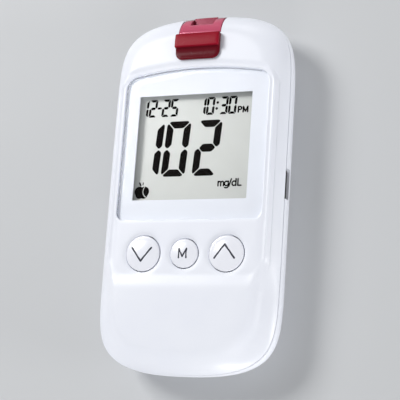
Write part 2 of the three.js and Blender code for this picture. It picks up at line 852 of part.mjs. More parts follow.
function makeLightGuide() {
  const reach = glassHalfLength - contactLedge;
  return displayPlate(glassHalfWidth - rearPolariserInset, -reach, reach, guideBottom, guideThickness);
}

function makeDisplayFrame() {
  const innerHalfX = glassHalfWidth + seatGap;
  const innerHalfY = glassHalfLength + seatGap;
  const outerHalfY = innerHalfY + frameWall;
  const outer = displayPlate(
    innerHalfX + frameWall, -outerHalfY, outerHalfY, frameBottom, frameTop - frameBottom,
  );
  const bed = displayPlate(innerHalfX, -innerHalfY, innerHalfY, guideBottom - layerGap, frameTop);
  const southSlot = displayPlate(
    innerHalfX - frameWall, -innerHalfY, -innerHalfY + contactLedge, frameBottom - overrun, frameTop,
  );
  const northSlot = displayPlate(
    innerHalfX - frameWall, innerHalfY - contactLedge, innerHalfY, frameBottom - overrun, frameTop,
  );
  return cut(outer, bed, southSlot, northSlot);
}

function makeContactStrip(side) {
  const middle = side * (glassHalfLength - contactLedge / 2);
  const half = contactLedge / 2 - 2 * seatGap;
  const halfX = glassHalfWidth - frameWall - seatGap;
  const bottom = boardTop + layerGap;
  return displayPlate(halfX, middle - half, middle + half, bottom, frontGlassBottom - layerGap - bottom);
}

// Circuit board: it follows the housing and clears the bosses
function makeBoard() {
  const inset = wall + boardEdgeGap;
  const plate = loft([outlineRing(inset, level(boardBottom)), outlineRing(inset, level(boardTop))]);
  const notches = caseScrewPlaces().map(([x, y]) => (
    rod(caseBossRadius + boardNotchGap, overrun * 2, x, y, boardTop - overrun, smallRoundSteps)
  ));
  const holes = boardScrewPlaces().map(([x, y]) => (
    rod(boardShankRadius + screwFit, overrun * 2, x, y, boardTop - overrun, smallRoundSteps)
  ));
  return cut(plate, ...notches, ...holes);
}

// Button: a domed cap with a flange under the face and a stem on its switch
function makeButton(radius, x) {
  const flangeTop = cavityRoof - seatGap;
  const flangeBottom = flangeTop - buttonFlangeThickness;
  const stemBottom = switchTop + plungerRise + layerGap;
  const edgeHeight = faceHeight + buttonEdgeRise;
  const crownSteps = 5;
  const profile = [
    [0, stemBottom], [buttonStemRadius, stemBottom], [buttonStemRadius, flangeBottom],
    [radius + buttonFlange, flangeBottom], [radius + buttonFlange, flangeTop],
    [radius, flangeTop], [radius, edgeHeight],
  ];
  for (let step = 1; step <= crownSteps; step += 1) {
    const radiusShare = 1 - (step / crownSteps) ** 2;
    profile.push([radius * radiusShare, edgeHeight + buttonCrown * (1 - radiusShare ** crownPower)]);
  }
  return turned(profile, x, buttonRow, 0);
}

function makeSwitchBase(x) {
  const half = switchWidth / 2;
  const base = block(
    [x - half, buttonRow - half, boardTop + layerGap], [x + half, buttonRow + half, switchTop],
  );
  const wellDepth = plungerReach + buttonTravel + seatGap;
  const wellFloor = switchTop - wellDepth;
  const well = rod(
    plungerRadius + seatGap, wellDepth + overrun, x, buttonRow, wellFloor, smallRoundSteps,
  );
  return cut(base, well);
}

function makePlunger(x) {
  const length = plungerReach + plungerRise;
  return rod(plungerRadius, length, x, buttonRow, switchTop - plungerReach, smallRoundSteps);
}

// Strip port: it carries the end's rounding on and has the strip's slot and a notch over it
function makeStripPort() {
  const proudHeight = (x, y, inset) => faceHeightAt(x, y, Math.max(inset, 0)) + portProud;
  const rings = [outlineRing(insetAtHeight(portFloorHeight), level(portFloorHeight))];
  portRoundShares.forEach((share) => rings.push(outlineRing(share * frontRound + seatGap, proudHeight)));
  const form = loft(rings);
  const blank = block(
    [-portHalfWidth, portSouth, portFloorHeight], [portHalfWidth, halfLength, faceHeight + overrun],
  );
  const slot = block(
    [-stripHalfWidth, portSouth - overrun, stripFloor], [stripHalfWidth, halfLength + overrun, stripTop],
  );
  const notch = block(
    [-stripHalfWidth, notchSouth, stripFloor], [stripHalfWidth, halfLength + overrun, faceHeight + overrun],
  );
  return cut(form.intersect(blank), slot, notch);
}

// Strip connector with one groove for each contact
function contactPlaces() {
  const places = [];
  for (let copy = 0; copy < contactCount; copy += 1) {
    places.push((copy - (contactCount - 1) / 2) * contactSpacing);
  }
  return places;
}

function makeStripConnector() {
  const bottom = boardTop + layerGap;
  const body = block(
    [-connectorHalfWidth, connectorSouth, bottom], [connectorHalfWidth, connectorNorth, connectorTop],
  );
  const slot = block(
    [-stripHalfWidth, connectorSouth - overrun, stripFloor],
    [stripHalfWidth, connectorNorth + overrun, stripTop],
  );
  const grooves = contactPlaces().map((x) => block(
    [x - contactGrooveWidth / 2, connectorSouth - overrun, contactGrooveFloor],
    [x + contactGrooveWidth / 2, connectorSouth + contactGrooveLength, stripFloor + weld],
  ));

  // the way through the roof for the pusher's finger
  const fingerWay = block(
    [-fingerHalfWidth - runningGap, connectorSouth - overrun, stripTop - stripHeight / 2],
    [
      fingerHalfWidth + runningGap, carriageSouth + fingerWall + sliderTravel + runningGap,
      connectorTop + overrun,
    ],
  );
  return cut(body, slot, fingerWay, ...grooves);
}

// A spring contact: a foot on the board, a riser and an arm that reaches up into the slot
function makeStripContact(x) {
  const footBottom = boardTop + layerGap;
  const footTop = footBottom + contactThickness;
  const armBottom = contactGrooveFloor + seatGap;
  const armTop = armBottom + contactThickness;
  const outside = connectorSouth - seatGap;
  const knee = connectorSouth + contactReach * contactKneeShare;
  const tip = connectorSouth + contactReach;
  const peak = stripFloor + layerGap;
  const points = [
    [outside - contactFoot, footBottom],
    [outside, footBottom],
    [outside, armBottom],
    [outside + contactThickness + seatGap, armBottom],
    [knee, peak - contactThickness],
    [tip, peak - 3 * contactThickness],
    [tip, peak - 2 * contactThickness],
    [knee, peak],
    [outside + contactThickness, armTop],
    [outside - contactThickness, armTop],
    [outside - contactThickness, footTop],
    [outside - contactFoot, footTop],
  ];
  return sideProfile(points, x - contactWidth / 2, x + contactWidth / 2);
}

// Ejector slider: the thumb piece over the face with its ledge, and its stem through the face
function makeEjectorSlider() {
  const top = faceHeight + sliderTop;
  const outline = new THREE.Shape();
  const quarter = Math.PI / 2;
  const side = sliderHalfWidth;
  const northSide = side - sliderNorthCorner;
  const northMiddle = sliderNorth - sliderNorthCorner;
  outline.absarc(side - sliderCorner, sliderSouth + sliderCorner, sliderCorner, -quarter, 0);
  outline.absarc(northSide, northMiddle, sliderNorthCorner, 0, quarter);
  outline.absarc(-northSide, northMiddle, sliderNorthCorner, quarter, 2 * quarter);
  outline.absarc(sliderCorner - side, sliderSouth + sliderCorner, sliderCorner, 2 * quarter, 3 * quarter);
  outline.closePath();
  const form = slopedSlab(outline, sliderBottomHeight, top, sliderEdge, sliderEdge, -sliderEdge);
  const ledgeFoot = top - sliderLedgeDrop;
  const hollowSteps = 5;
  const hollow = [[sliderLedge, top + overrun], [sliderLedge, ledgeFoot]];
  for (let step = 1; step <= hollowSteps; step += 1) {
    const share = step / hollowSteps;
    const sag = sliderHollow * 4 * share * (1 - share);
    hollow.push([sliderLedge + (sliderSouth - sliderLedge) * share, ledgeFoot - sag]);
  }
  hollow.push([sliderSouth - overrun, ledgeFoot]);
  hollow.push([sliderSouth - overrun, top + overrun]);
  const ramp = sideProfile(hollow, -side - overrun, side + overrun);
  const stem = block(
    [-stemHalfWidth, stemSouth, carriageTop + layerGap],
    [stemHalfWidth, stemNorth, sliderBottomHeight + weld],
  );
  return join(cut(form, ramp), stem);
}

// Ejector pusher: a carriage under the face, the finger behind the strip and the spring's arm
function makeEjectorPusher() {
  const plate = block(
    [-carriageHalfWidth, carriageSouth, carriageBottom], [carriageHalfWidth, carriageNorth, carriageTop],
  );
  const fingerBottom = stripFloor + seatGap;
  const finger = sideProfile([
    [carriageSouth, fingerBottom],
    [carriageSouth + fingerReach, fingerBottom],
    [carriageSouth + fingerReach, fingerBottom + fingerThickness],
    [carriageSouth + fingerWall, fingerBottom + fingerThickness],
    [carriageSouth + fingerWall, carriageTop],
    [carriageSouth, carriageTop],
  ], -fingerHalfWidth, fingerHalfWidth);
  const armOuter = springSide + springRadius + springWire;
  const armSouth = springSouth - seatGap - springSeat;
  const arm = block(
    [carriageHalfWidth - weld, armSouth, carriageBottom], [armOuter, armSouth + springSeat, carriageTop],
  );
  const armFace = block(
    [springSide - springRadius - springWire / 2, armSouth, springHeight - springRadius],
    [armOuter, armSouth + springSeat, carriageTop],
  );
  return join(plate, finger, arm, armFace);
}

// Return spring: a coil between the pusher's arm and the front cover's stop
class SpringPath extends THREE.Curve {
  getPoint(share, target = new THREE.Vector3()) {
    const angle = 2 * Math.PI * springTurns * share;
    const start = springSouth + springWire / 2;
    const run = springNorth - springSouth - springWire;
    return target.set(
      springSide + springRadius * Math.cos(angle),
      start + run * share,
      springHeight + springRadius * Math.sin(angle),
    );
  }
}

function makeEjectorSpring() {
  const section = new THREE.Shape();
  section.absarc(0, 0, springWire / 2, 0, 2 * Math.PI);
  const geometry = new THREE.ExtrudeGeometry(section, {
    steps: springTurns * springTurnSteps,
    extrudePath: new SpringPath(),
    curveSegments: 3,
    bevelEnabled: false,
  });
  return toSolid(geometry);
}

// Data socket: a metal shell closed at its inner end, and the tongue in it
function makeSocketShell() {
  const inside = socketBar(-socketWall, socketInner + socketWall, socketOuter + overrun);
  return cut(socketBar(0, socketInner, socketOuter), inside);
}

function makeSocketTongue() {
  const root = socketInner + socketWall + layerGap;
  const rootHeight = socketHeight - 2 * socketWall - 2 * seatGap;
  return join(
    block(
      [root, socketMiddle - tongueHalfWidth, socketLevel - tongueThickness / 2],
      [socketOuter - tongueMargin, socketMiddle + tongueHalfWidth, socketLevel + tongueThickness / 2],
    ),
    block(
      [root, socketMiddle - tongueHalfWidth - socketWall, socketLevel - rootHeight / 2],
      [root + tongueMargin, socketMiddle + tongueHalfWidth + socketWall, socketLevel + rootHeight / 2],
    ),
  );
}

// Coin cell, its holder under the board and the two contacts
function makeCoinCell() {
  return turned([
    [0, 0], [cellRadius - cellStep / 2, 0], [cellRadius, cellStep / 2],
    [cellRadius, cellHeight - cellStepHeight], [cellRadius - cellStep, cellHeight - cellStepHeight],
    [cellRadius - cellStep, cellHeight], [0, cellHeight],
  ], 0, cellMiddle, cellBottom);
}

function makeCellHolder() {
  const inner = cellRadius + runningGap;
  const outer = inner + holderWall;
  const bottom = cellBottom;
  const top = boardBottom - layerGap;
  const ceiling = cellBottom + cellHeight + runningGap;
  const ring = turned([
    [inner, 0], [outer, 0], [outer, top - bottom], [holderOpening, top - bottom],
    [holderOpening, ceiling - bottom], [inner, ceiling - bottom], [inner, 0],
  ], 0, cellMiddle, bottom);
  const gate = block(
    [-leafWidth / 2 - runningGap, cellMiddle + cellRadius / 2, cellBottom - overrun],
    [leafWidth / 2 + runningGap, cellMiddle + outer + overrun, top + overrun],
  );
  return cut(ring, gate);
}

function makeNegativeContact() {
  const top = boardBottom - layerGap;
  const touch = cellBottom + cellHeight + layerGap;
  const root = cellMiddle - leafReach / 2;
  const [touchStart, touchEnd] = leafTouchShares.map((share) => root + share * leafReach);
  return sideProfile([
    [root - leafFoot, top], [root - leafFoot, top - contactLeaf],
    [root, top - contactLeaf], [touchStart, touch],
    [touchEnd, touch], [root + leafReach, touch + 2 * contactLeaf],
    [touchEnd, touch + contactLeaf], [touchStart, touch + contactLeaf],
    [root + contactLeaf, top],
  ], -leafWidth / 2, leafWidth / 2);
}

function makePositiveContact() {
  const top = boardBottom - layerGap;
  const face = cellMiddle + cellRadius + seatGap;
  const bottom = cellBottom + cellStep;
  return sideProfile([
    [face, bottom], [face + contactLeaf, bottom], [face + contactLeaf, top - contactLeaf],
    [face + contactLeaf + leafFoot, top - contactLeaf], [face + contactLeaf + leafFoot, top], [face, top],
  ], -leafWidth / 2, leafWidth / 2);
}

// Screws with a cross in the head
function makeScrew(x, y, headBottom, headRadius, headHeight, shankRadius, length) {
  const body = turned([
    [0, 0], [headRadius - headHeight / 4, 0], [headRadius, headHeight / 4], [headRadius, headHeight],
    [shankRadius, headHeight], [shankRadius, headHeight + length], [0, headHeight + length],
  ], x, y, headBottom, smallRoundSteps);
  const reach = headRadius * crossLengthShare;
  const arm = headRadius * crossWidthShare;
  const depth = headBottom + headHeight * crossDepthShare;
  return cut(
    body,
    block([x - reach, y - arm, headBottom - overrun], [x + reach, y + arm, depth]),
    block([x - arm, y - reach, headBottom - overrun], [x + arm, y + reach, depth]),
  );
}

// Parts soldered under the board
function boardPlace([acrossShare, alongShare]) {
  return [acrossShare * halfWidth, alongShare * halfLength];
}

function underBoard(placeShares, width, length, height) {
  const [x, y] = boardPlace(placeShares);
  const top = boardBottom - layerGap;
  return block([x - width / 2, y - length / 2, top - height], [x + width / 2, y + length / 2, top]);
}

function makeCrystal() {
  const radius = crystalRadius;
  const [x, y] = boardPlace(crystalPlaceShares);
  const shape = roundedRectangle(crystalLength / 2, radius, radius, x, y);
  const top = boardBottom - layerGap;
  return slab(shape, top - 2 * radius, top, 4);
}

function makeCoil() {
  const flange = coilHeight * coilFlangeShare;
  const waist = coilRadius * coilWaistShare;
  const [x, y] = boardPlace(coilPlaceShares);
  return turned([
    [0, 0], [coilRadius, 0], [coilRadius, flange], [waist, flange],
    [waist, coilHeight - flange], [coilRadius, coilHeight - flange],
    [coilRadius, coilHeight], [0, coilHeight],
  ], x, y, boardBottom - layerGap - coilHeight, smallRoundSteps);
}

function makeBuzzer() {
  const bottom = boardBottom - layerGap - buzzerHeight;
  const [x, y] = boardPlace(buzzerPlaceShares);
  const body = rod(buzzerRadius, buzzerHeight, x, y, bottom);
  const hole = rod(buzzerHole, buzzerHeight / 2 + overrun, x, y, bottom - overrun, smallRoundSteps);
  return cut(body, hole);
}

function makeCapacitor(placeShares) {
  const [x, y] = boardPlace(placeShares);
  return turned([
    [0, 0], [capacitorRadius - capacitorBevel, 0], [capacitorRadius, capacitorBevel],
    [capacitorRadius, capacitorHeight], [0, capacitorHeight],
  ], x, y, boardBottom - layerGap - capacitorHeight, smallRoundSteps);
}

// Materials
function finish(color, roughness, metalness = 0, extra = {}) {
  return new THREE.MeshStandardMaterial({ color, roughness, metalness, ...extra });
}

const whiteGloss = finish(0xeceff6, 0.22);
const clearPane = finish(0xeef1f2, 0.06, 0, { transparent: true, opacity: 0.35 });
const redPlastic = finish(0x8e1830, 0.2);
const displayGlass = finish(0xcdd0c8, 0.15);
const polariserFilm = finish(0xc4c8be, 0.3);
const guidePlastic = finish(0xf4f6f2, 0.25);
const framePlastic = finish(0xe6e8ea, 0.5);
const contactRubber = finish(0x2a2a2c, 0.8);
const boardGreen = finish(0x1f6a3c, 0.5);
const blackPlastic = finish(0x1c1d20, 0.55);
const steel = finish(0xb9bcc0, 0.3, 1);
const gold = finish(0xd8b255, 0.3, 1);
const whitePlunger = finish(0xd9d9d4, 0.6);
const ferrite = finish(0x3a3a3e, 0.7);

// Assembly
const meter = new THREE.Group();

function add(name, solid, material) {
  const mesh = new THREE.Mesh(toGeometry(solid), material);
  mesh.name = name;
  meter.add(mesh);
}

add('front_cover', makeFrontCover(), whiteGloss);
add('back_cover', makeBackCover(), whiteGloss);
add('battery_door', makeBatteryDoor(), whiteGloss);
add('display_window', makeDisplayWindow(), clearPane);

add('lcd_front_polariser', makeFrontPolariser(), polariserFilm);
add('lcd_front_glass', makeFrontGlass(), displayGlass);
add('lcd_rear_glass', makeRearGlass(), displayGlass);
add('lcd_rear_polariser', makeRearPolariser(), polariserFilm);
add('lcd_light_guide', makeLightGuide(), guidePlastic);
add('lcd_frame', makeDisplayFrame(), framePlastic);
add('lcd_contact_strip_lower', makeContactStrip(-1), contactRubber);
add('lcd_contact_strip_upper', makeContactStrip(1), contactRubber);
add('main_board', makeBoard(), boardGreen);

buttons.forEach(({ name, x, radius }) => {
  add(`${name}_button`, makeButton(radius, x), whiteGloss);
  add(`${name}_switch_base`, makeSwitchBase(x), blackPlastic);
  add(`${name}_switch_plunger`, makePlunger(x), whitePlunger);
});

add('strip_port', makeStripPort(), redPlastic);
add('strip_connector', makeStripConnector(), blackPlastic);
contactPlaces().forEach((x, index) => add(`strip_contact_${index + 1}`, makeStripContact(x), gold));
add('ejector_slider', makeEjectorSlider(), redPlastic);
add('ejector_pusher', makeEjectorPusher(), framePlastic);
add('ejector_spring', makeEjectorSpring(), steel);

add('data_socket_shell', makeSocketShell(), steel);
add('data_socket_tongue', makeSocketTongue(), blackPlastic);

add('coin_cell', makeCoinCell(), steel);
add('cell_holder', makeCellHolder(), blackPlastic);
add('cell_contact_negative', makeNegativeContact(), gold);
add('cell_contact_positive', makePositiveContact(), gold);

add(
  'processor',
  underBoard(processorPlaceShares, processorWidth, processorWidth, processorHeight),
  blackPlastic,
);
add('memory_chip', underBoard(memoryPlaceShares, memoryWidth, memoryLength, memoryHeight), blackPlastic);
add('crystal', makeCrystal(), steel);
add('supply_coil', makeCoil(), ferrite);
add('buzzer', makeBuzzer(), blackPlastic);
add(
  'temperature_sensor',
  underBoard(sensorPlaceShares, sensorWidth, 2 * sensorWidth, sensorHeight),
  blackPlastic,
);
capacitorPlaceShares.forEach((placeShares, index) => {
  add(`capacitor_${index + 1}`, makeCapacitor(placeShares), steel);
});

caseScrewPlaces().forEach(([x, y], index) => {
  const pilotEnd = caseBossFoot - weld + caseScrewReach;
  const length = pilotEnd - screwTipGap - caseHeadSink - caseHeadHeight;
  const screw = makeScrew(x, y, caseHeadSink, caseHeadRadius, caseHeadHeight, caseShankRadius, length);
  add(`case_screw_${index + 1}`, screw, steel);
});
boardScrewPlaces().forEach(([x, y], index) => {
  const headBottom = boardBottom - layerGap - boardHeadHeight;
  const length = layerGap + boardThickness + boardScrewReach - screwTipGap;
  const screw = makeScrew(x, y, headBottom, boardHeadRadius, boardHeadHeight, boardShankRadius, length);
  add(`board_screw_${index + 1}`, screw, steel);
});

export default meter;
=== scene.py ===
"""Looks of a hand-held blood glucose meter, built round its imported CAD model.

Lengths in this script are millimetres in the part's own frame: +Z out of the face, +Y to the
strip port and +X to the meter's right. new_object() turns them into Blender's metres.
"""

import json
import math

import bmesh
import bpy
import numpy as np
from mathutils import Matrix, Vector
from mathutils.geometry import delaunay_2d_cdt
from mathutils.kdtree import KDTree


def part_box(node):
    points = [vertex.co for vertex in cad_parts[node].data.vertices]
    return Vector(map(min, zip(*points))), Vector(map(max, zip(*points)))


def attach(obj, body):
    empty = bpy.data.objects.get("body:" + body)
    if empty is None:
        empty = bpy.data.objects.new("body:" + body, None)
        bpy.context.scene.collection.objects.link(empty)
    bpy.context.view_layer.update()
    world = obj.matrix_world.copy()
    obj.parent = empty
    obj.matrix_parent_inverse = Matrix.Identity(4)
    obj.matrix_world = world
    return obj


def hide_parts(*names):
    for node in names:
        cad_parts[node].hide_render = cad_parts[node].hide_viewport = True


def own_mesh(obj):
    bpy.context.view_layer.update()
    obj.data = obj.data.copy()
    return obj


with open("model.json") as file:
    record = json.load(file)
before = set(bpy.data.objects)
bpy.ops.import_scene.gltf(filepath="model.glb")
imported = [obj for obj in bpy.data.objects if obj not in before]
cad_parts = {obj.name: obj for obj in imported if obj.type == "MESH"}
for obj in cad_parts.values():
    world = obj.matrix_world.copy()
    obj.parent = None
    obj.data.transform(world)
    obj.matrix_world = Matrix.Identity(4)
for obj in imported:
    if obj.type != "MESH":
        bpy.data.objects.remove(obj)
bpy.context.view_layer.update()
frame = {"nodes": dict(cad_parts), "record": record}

MM = 0.001


def span(node):
    """The lowest and highest corner of a CAD node, in millimetres."""
    low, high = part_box(node)
    return np.array(low) / MM, np.array(high) / MM


# Places that the CAD model gives
window_low, window_high = span("display_window")
FILM_TOP = span("lcd_front_polariser")[1][2]
slider_low, slider_high = span("ejector_slider")
port_low, port_high = span("strip_port")
socket_low, socket_high = span("data_socket_shell")
door_low, door_high = span("battery_door")
HALF_WIDTH, HALF_LENGTH = span("back_cover")[1][:2]
FACE = window_high[2]
SEAT_GAP = 0.15
FACE_WALL = 1
SEAT = window_low[2] - SEAT_GAP
ROOF = SEAT - FACE_WALL

# Housing
WIDTH_POWER = 2.53
LENGTH_POWER = 10
OUTLINE_POINTS = 420
GIRTH = 9.1
FRONT_ROUND = 6.25
FRONT_POWER = 1.74
FACE_RISE = 6.35
END_DROP = 0.5
BACK_ROUND = 7.5
WALL = 2
FRONT_FOOT = 10.55
BACK_TOP = 10.12
LIP_INSET = 1.35
LIP_TOP = 11.35
REBATE_INSET = 1.2
REBATE_TOP = 11.5
HOLLOW_ROUND = 4
FRONT_RINGS = (0.33, 0.4, 0.5, 0.62, 0.78, 0.97, 1.19, 1.21, 1.45, 1.75, 2.0, 2.1, 2.3, 2.6)
FACE_RINGS = (3.0, 3.5, 4.0, 4.6, 5.2, 5.8, 6.3, 7.0, 7.8, 8.8, 10, 11.5)
STEP = 0.01

# Meshes
SAME_PLACE = 1e-4
SHARP = 32
CLOSENESS = 0.4
LONE_SPACING = 0.3
OUTLINE_SAMPLES = 40001
HALVINGS = 36
ARCH_STEPS = 40
RING_TOLERANCE = 0.02
BEYOND = 1
LOOSE_STEPS = 80
ROW_POINTS = 40
SPACING = {
    "panel": 0.6, "pocket": 0.4, "recess": 0.7, "door": 0.5, "window": 0.5, "slider": 0.35,
    "slider_rings": 0.3,
}
GRID = {
    "front": 1.1, "back": 1.6, "door": 1.2, "window": 4, "mark": 0.35, "slider": 0.55, "port": 0.6,
}

# Soft valley along the sides of the lower face
VALLEY_INSET = 3.2
VALLEY_WIDTH = 3.8
VALLEY_DEPTH = 1.1
VALLEY_POWER = 2.4
VALLEY_START = 17.5
VALLEY_BLEND = 11
VALLEY_FADE_INNER = 9
VALLEY_FADE_OUTER = 20

# Raised panel with its rim and the groove beside the window
PANEL_HALF_WIDTH = 22.1
PANEL_TOP = 33.7
PANEL_BOTTOM = -24.4
PANEL_TOP_CORNER = 4.6
PANEL_BOTTOM_CORNER = 5.2
ARCH_RADIUS = 95
RIM_WIDTH = 1.3
RIM_WIDTH_BELOW = 4.6
RIM_START_BELOW = 2.2
PANEL_ROUND = 0.45
PANEL_FOOT = 0.35
PANEL_ROUND_BELOW = 2.6
PANEL_FOOT_BELOW = -0.6
EDGE_SOFTENS = (-18.0, -23.5)
GROOVE_DEPTH = 0.27
GROOVE_POWER = 1.5
GROOVE_MIDDLE = -1.0
GROOVE_INNER = 0.6
GROOVE_INNER_BELOW = 1.7
GROOVE_OUTER = 0.85
GROOVE_WIDENS = (-6.5, -10.5)
GROOVE_TOP_FADE = (28.5, 32.5)
GROOVE_BOTTOM_FADE = (-22.5, -18.0)
OUTER_LINE = 0.62
OUTER_LINE_HALF = 0.24
OUTER_LINE_DEPTH = 0.15
PANEL_INNER_RINGS = (-2.8, -2.4, -2.1, -1.9, -1.7, -1.5, -1.3, -1.1, -0.9, -0.7, -0.5, -0.35, -0.2)
PANEL_RINGS = (-0.05, 0.1, 0.25, 0.38, 0.46, 0.54, 0.62, 0.7, 0.78, 0.86, 1.0, 1.35, 1.9, 2.6, 3.3)
PANEL_CLEARANCE = 0.3
EDGE_ROUND = 0.16
FRONT_EDGE_RINGS = (0.03, 0.08, EDGE_ROUND)
BACK_EDGE_RINGS = (0.04, 0.09, EDGE_ROUND)

# Window, its print and the display
WINDOW_TOP_CORNER = 3.4
WINDOW_BOTTOM_CORNER = 2.2
WINDOW_GAP = 0.09
WINDOW_TOP_GAP = 0.34
WINDOW_EDGE = 0.22
WINDOW_RINGS = (0.03, 0.08, 0.14, WINDOW_EDGE)
PRINT_THICKNESS = 0.06
PRINT_MARGIN = 0.1
OPENING_MIDDLE = (-0.45, 11.38)
OPENING_HALF = (16.06, 14.35)
OPENING_CORNER = 0.25
APERTURE_HALF = (16.9, 15.2)
APERTURE_CORNER = 0.6
DISPLAY_MIDDLE = 11.4

# Keys
KEYS = ("down", "memory", "up")
KEY_GAP = 0.22
KEY_FLANGE = 0.7
DISH_WIDTH = 1.2
DISH_DEPTH = 0.11
DISH_RINGS = (0.4, 0.8, DISH_WIDTH)


# Outlines in the plan
def climb(value, start, end):
    """A smooth climb from 0 at start to 1 at end."""
    share = np.clip((value - start) / (end - start), 0, 1)
    return share * share * (3 - 2 * share)


def outline_angles():
    """Angles that space the points of the housing's outline evenly."""
    angle = np.linspace(0, 2 * np.pi, OUTLINE_SAMPLES)
    curve = outline_at(angle, 0)
    length = np.concatenate([[0], np.cumsum(np.hypot(*np.diff(curve, axis=0).T))])
    return np.interp(np.arange(OUTLINE_POINTS) / OUTLINE_POINTS * length[-1], length, angle)


def outline_at(angle, inset):
    sine = np.sin(angle)
    side = (1 - np.abs(sine) ** LENGTH_POWER) ** (1 / WIDTH_POWER)
    x = np.sign(np.cos(angle)) * (HALF_WIDTH - inset) * side
    return np.column_stack([x, (HALF_LENGTH - inset) * sine])


ANGLES = outline_angles()


def outline(inset):
    """The housing's outline drawn in by an inset, as a loop of plan points."""
    return outline_at(ANGLES, inset)


def arc(middle, radius, start, end, steps):
    angle = np.linspace(start, end, steps + 1)
    return np.column_stack([middle[0] + radius * np.cos(angle), middle[1] + radius * np.sin(angle)])


def circle(middle, radius, steps=96):
    return arc(middle, radius, 0, 2 * np.pi, steps)[:-1]


def circles(middle, radii, steps=96):
    return [circle(middle, radius, steps) for radius in radii]


def row(left, right, y, count):
    """Points along a line of one y."""
    return np.column_stack([np.linspace(left, right, count), np.full(count, y)])


def rounded_rectangle(middle, half, corner, steps=6):
    right, upper = half[0] - corner, half[1] - corner
    quarter = np.pi / 2
    sides = ((right, -upper), (right, upper), (-right, upper), (-right, -upper))
    return np.concatenate([
        arc((middle[0] + x, middle[1] + y), corner, (turn - 1) * quarter, turn * quarter, steps)
        for turn, (x, y) in enumerate(sides)
    ])


def rectangle(left, right, bottom, top, spacing=0.8):
    corners = np.array([(left, bottom), (right, bottom), (right, top), (left, top)], float)
    return dense(corners, spacing)


def arched(half_width, bottom, top, bottom_corner, top_corner, radius, steps=10):
    """An upright outline with an arched top, as the panel and the window have."""
    quarter = np.pi / 2
    side = half_width - top_corner
    rise = math.sqrt((radius - top_corner) ** 2 - side ** 2)
    middle = top - radius
    turn = math.atan2(rise, side)
    low = bottom + bottom_corner
    inner = half_width - bottom_corner
    return np.concatenate([
        arc((inner, low), bottom_corner, -quarter, 0, steps),
        arc((side, middle + rise), top_corner, 0, turn, steps),
        arc((0, middle), radius, turn, np.pi - turn, ARCH_STEPS)[1:-1],
        arc((-side, middle + rise), top_corner, np.pi - turn, np.pi, steps),
        arc((-inner, low), bottom_corner, np.pi, 3 * quarter, steps),
    ])


def dense(loop, spacing):
    """The same loop with more points along its straight stretches."""
    made = []
    for start, end in zip(loop, np.roll(loop, -1, axis=0)):
        count = max(1, int(np.hypot(*(end - start)) / spacing))
        made += [start + (end - start) * step / count for step in range(count)]
    return np.array(made)


def inside(loop, points):
    """Which of the points lie inside a loop."""
    x, y = points[:, 0, None], points[:, 1, None]
    (x0, y0), (x1, y1) = loop.T, np.roll(loop, -1, axis=0).T
    crosses = (y0 > y) != (y1 > y)
    rise = np.where(y1 == y0, 1, y1 - y0)
    return ((x < (x1 - x0) * (y - y0) / rise + x0) & crosses).sum(axis=1) % 2 == 1


def distance(loop, points):
    """How far each point lies from a loop, negative inside it."""
    way = np.roll(loop, -1, axis=0) - loop
    size = (way ** 2).sum(axis=1)
    offset = points[:, None, :] - loop[None]
    share = np.clip((offset * way).sum(axis=2) / size, 0, 1)
    gap = np.hypot(*(offset - share[..., None] * way).transpose(2, 0, 1)).min(axis=1)
    return np.where(inside(loop, points), -gap, gap)


def away(points, middle):
    """How far each point lies from a middle."""
    return np.hypot(*(points - middle).T)


def offset_loops(loop, gaps, spacing=0.55):
    """A loop moved outwards by each of some gaps, for rings of points beside an edge."""
    points = dense(loop, spacing)
    way = np.roll(points, -1, axis=0) - np.roll(points, 1, axis=0)
    normal = np.column_stack([way[:, 1], -way[:, 0]]) / np.hypot(*way.T)[:, None]
    made = []
    for gap in gaps:
        moved = points + gap * normal
        made.append(moved[np.abs(np.abs(distance(loop, moved)) - abs(gap)) < RING_TOLERANCE])
    return made


def inset_of(points):
    """How far in from the housing's outline each point lies."""
    low = np.zeros(len(points))
    high = np.full(len(points), HALF_WIDTH - STEP)
    for _ in range(HALVINGS):
        middle = (low + high) / 2
        reach = (np.abs(points[:, 0]) / (HALF_WIDTH - middle)) ** WIDTH_POWER
        reach += (np.abs(points[:, 1]) / (HALF_LENGTH - middle)) ** LENGTH_POWER
        high = np.where(reach > 1, middle, high)
        low = np.where(reach > 1, low, middle)
    return low


# Solids
def add_object(name, data):
    made = bpy.data.objects.new(name, data)
    bpy.context.scene.collection.objects.link(made)
    return made


def new_object(name, points, faces):
    """A mesh object from points in millimetres, merged and smooth up to an edge angle."""
    mesh = bpy.data.meshes.new(name)
    mesh.from_pydata([tuple(float(c) * MM for c in p) for p in points], [], faces)
    shape = bmesh.new()
    shape.from_mesh(mesh)
    bmesh.ops.remove_doubles(shape, verts=shape.verts, dist=MM * SAME_PLACE)
    bmesh.ops.dissolve_degenerate(shape, edges=shape.edges, dist=MM * SAME_PLACE)
    bmesh.ops.recalc_face_normals(shape, faces=shape.faces)
    shape.to_mesh(mesh)
    shape.free()
    piece = add_object(name, mesh)
    shade(piece)
    return piece


def shade(piece):
    piece.data.shade_smooth()
    piece.data.set_sharp_from_angle(angle=math.radians(SHARP))


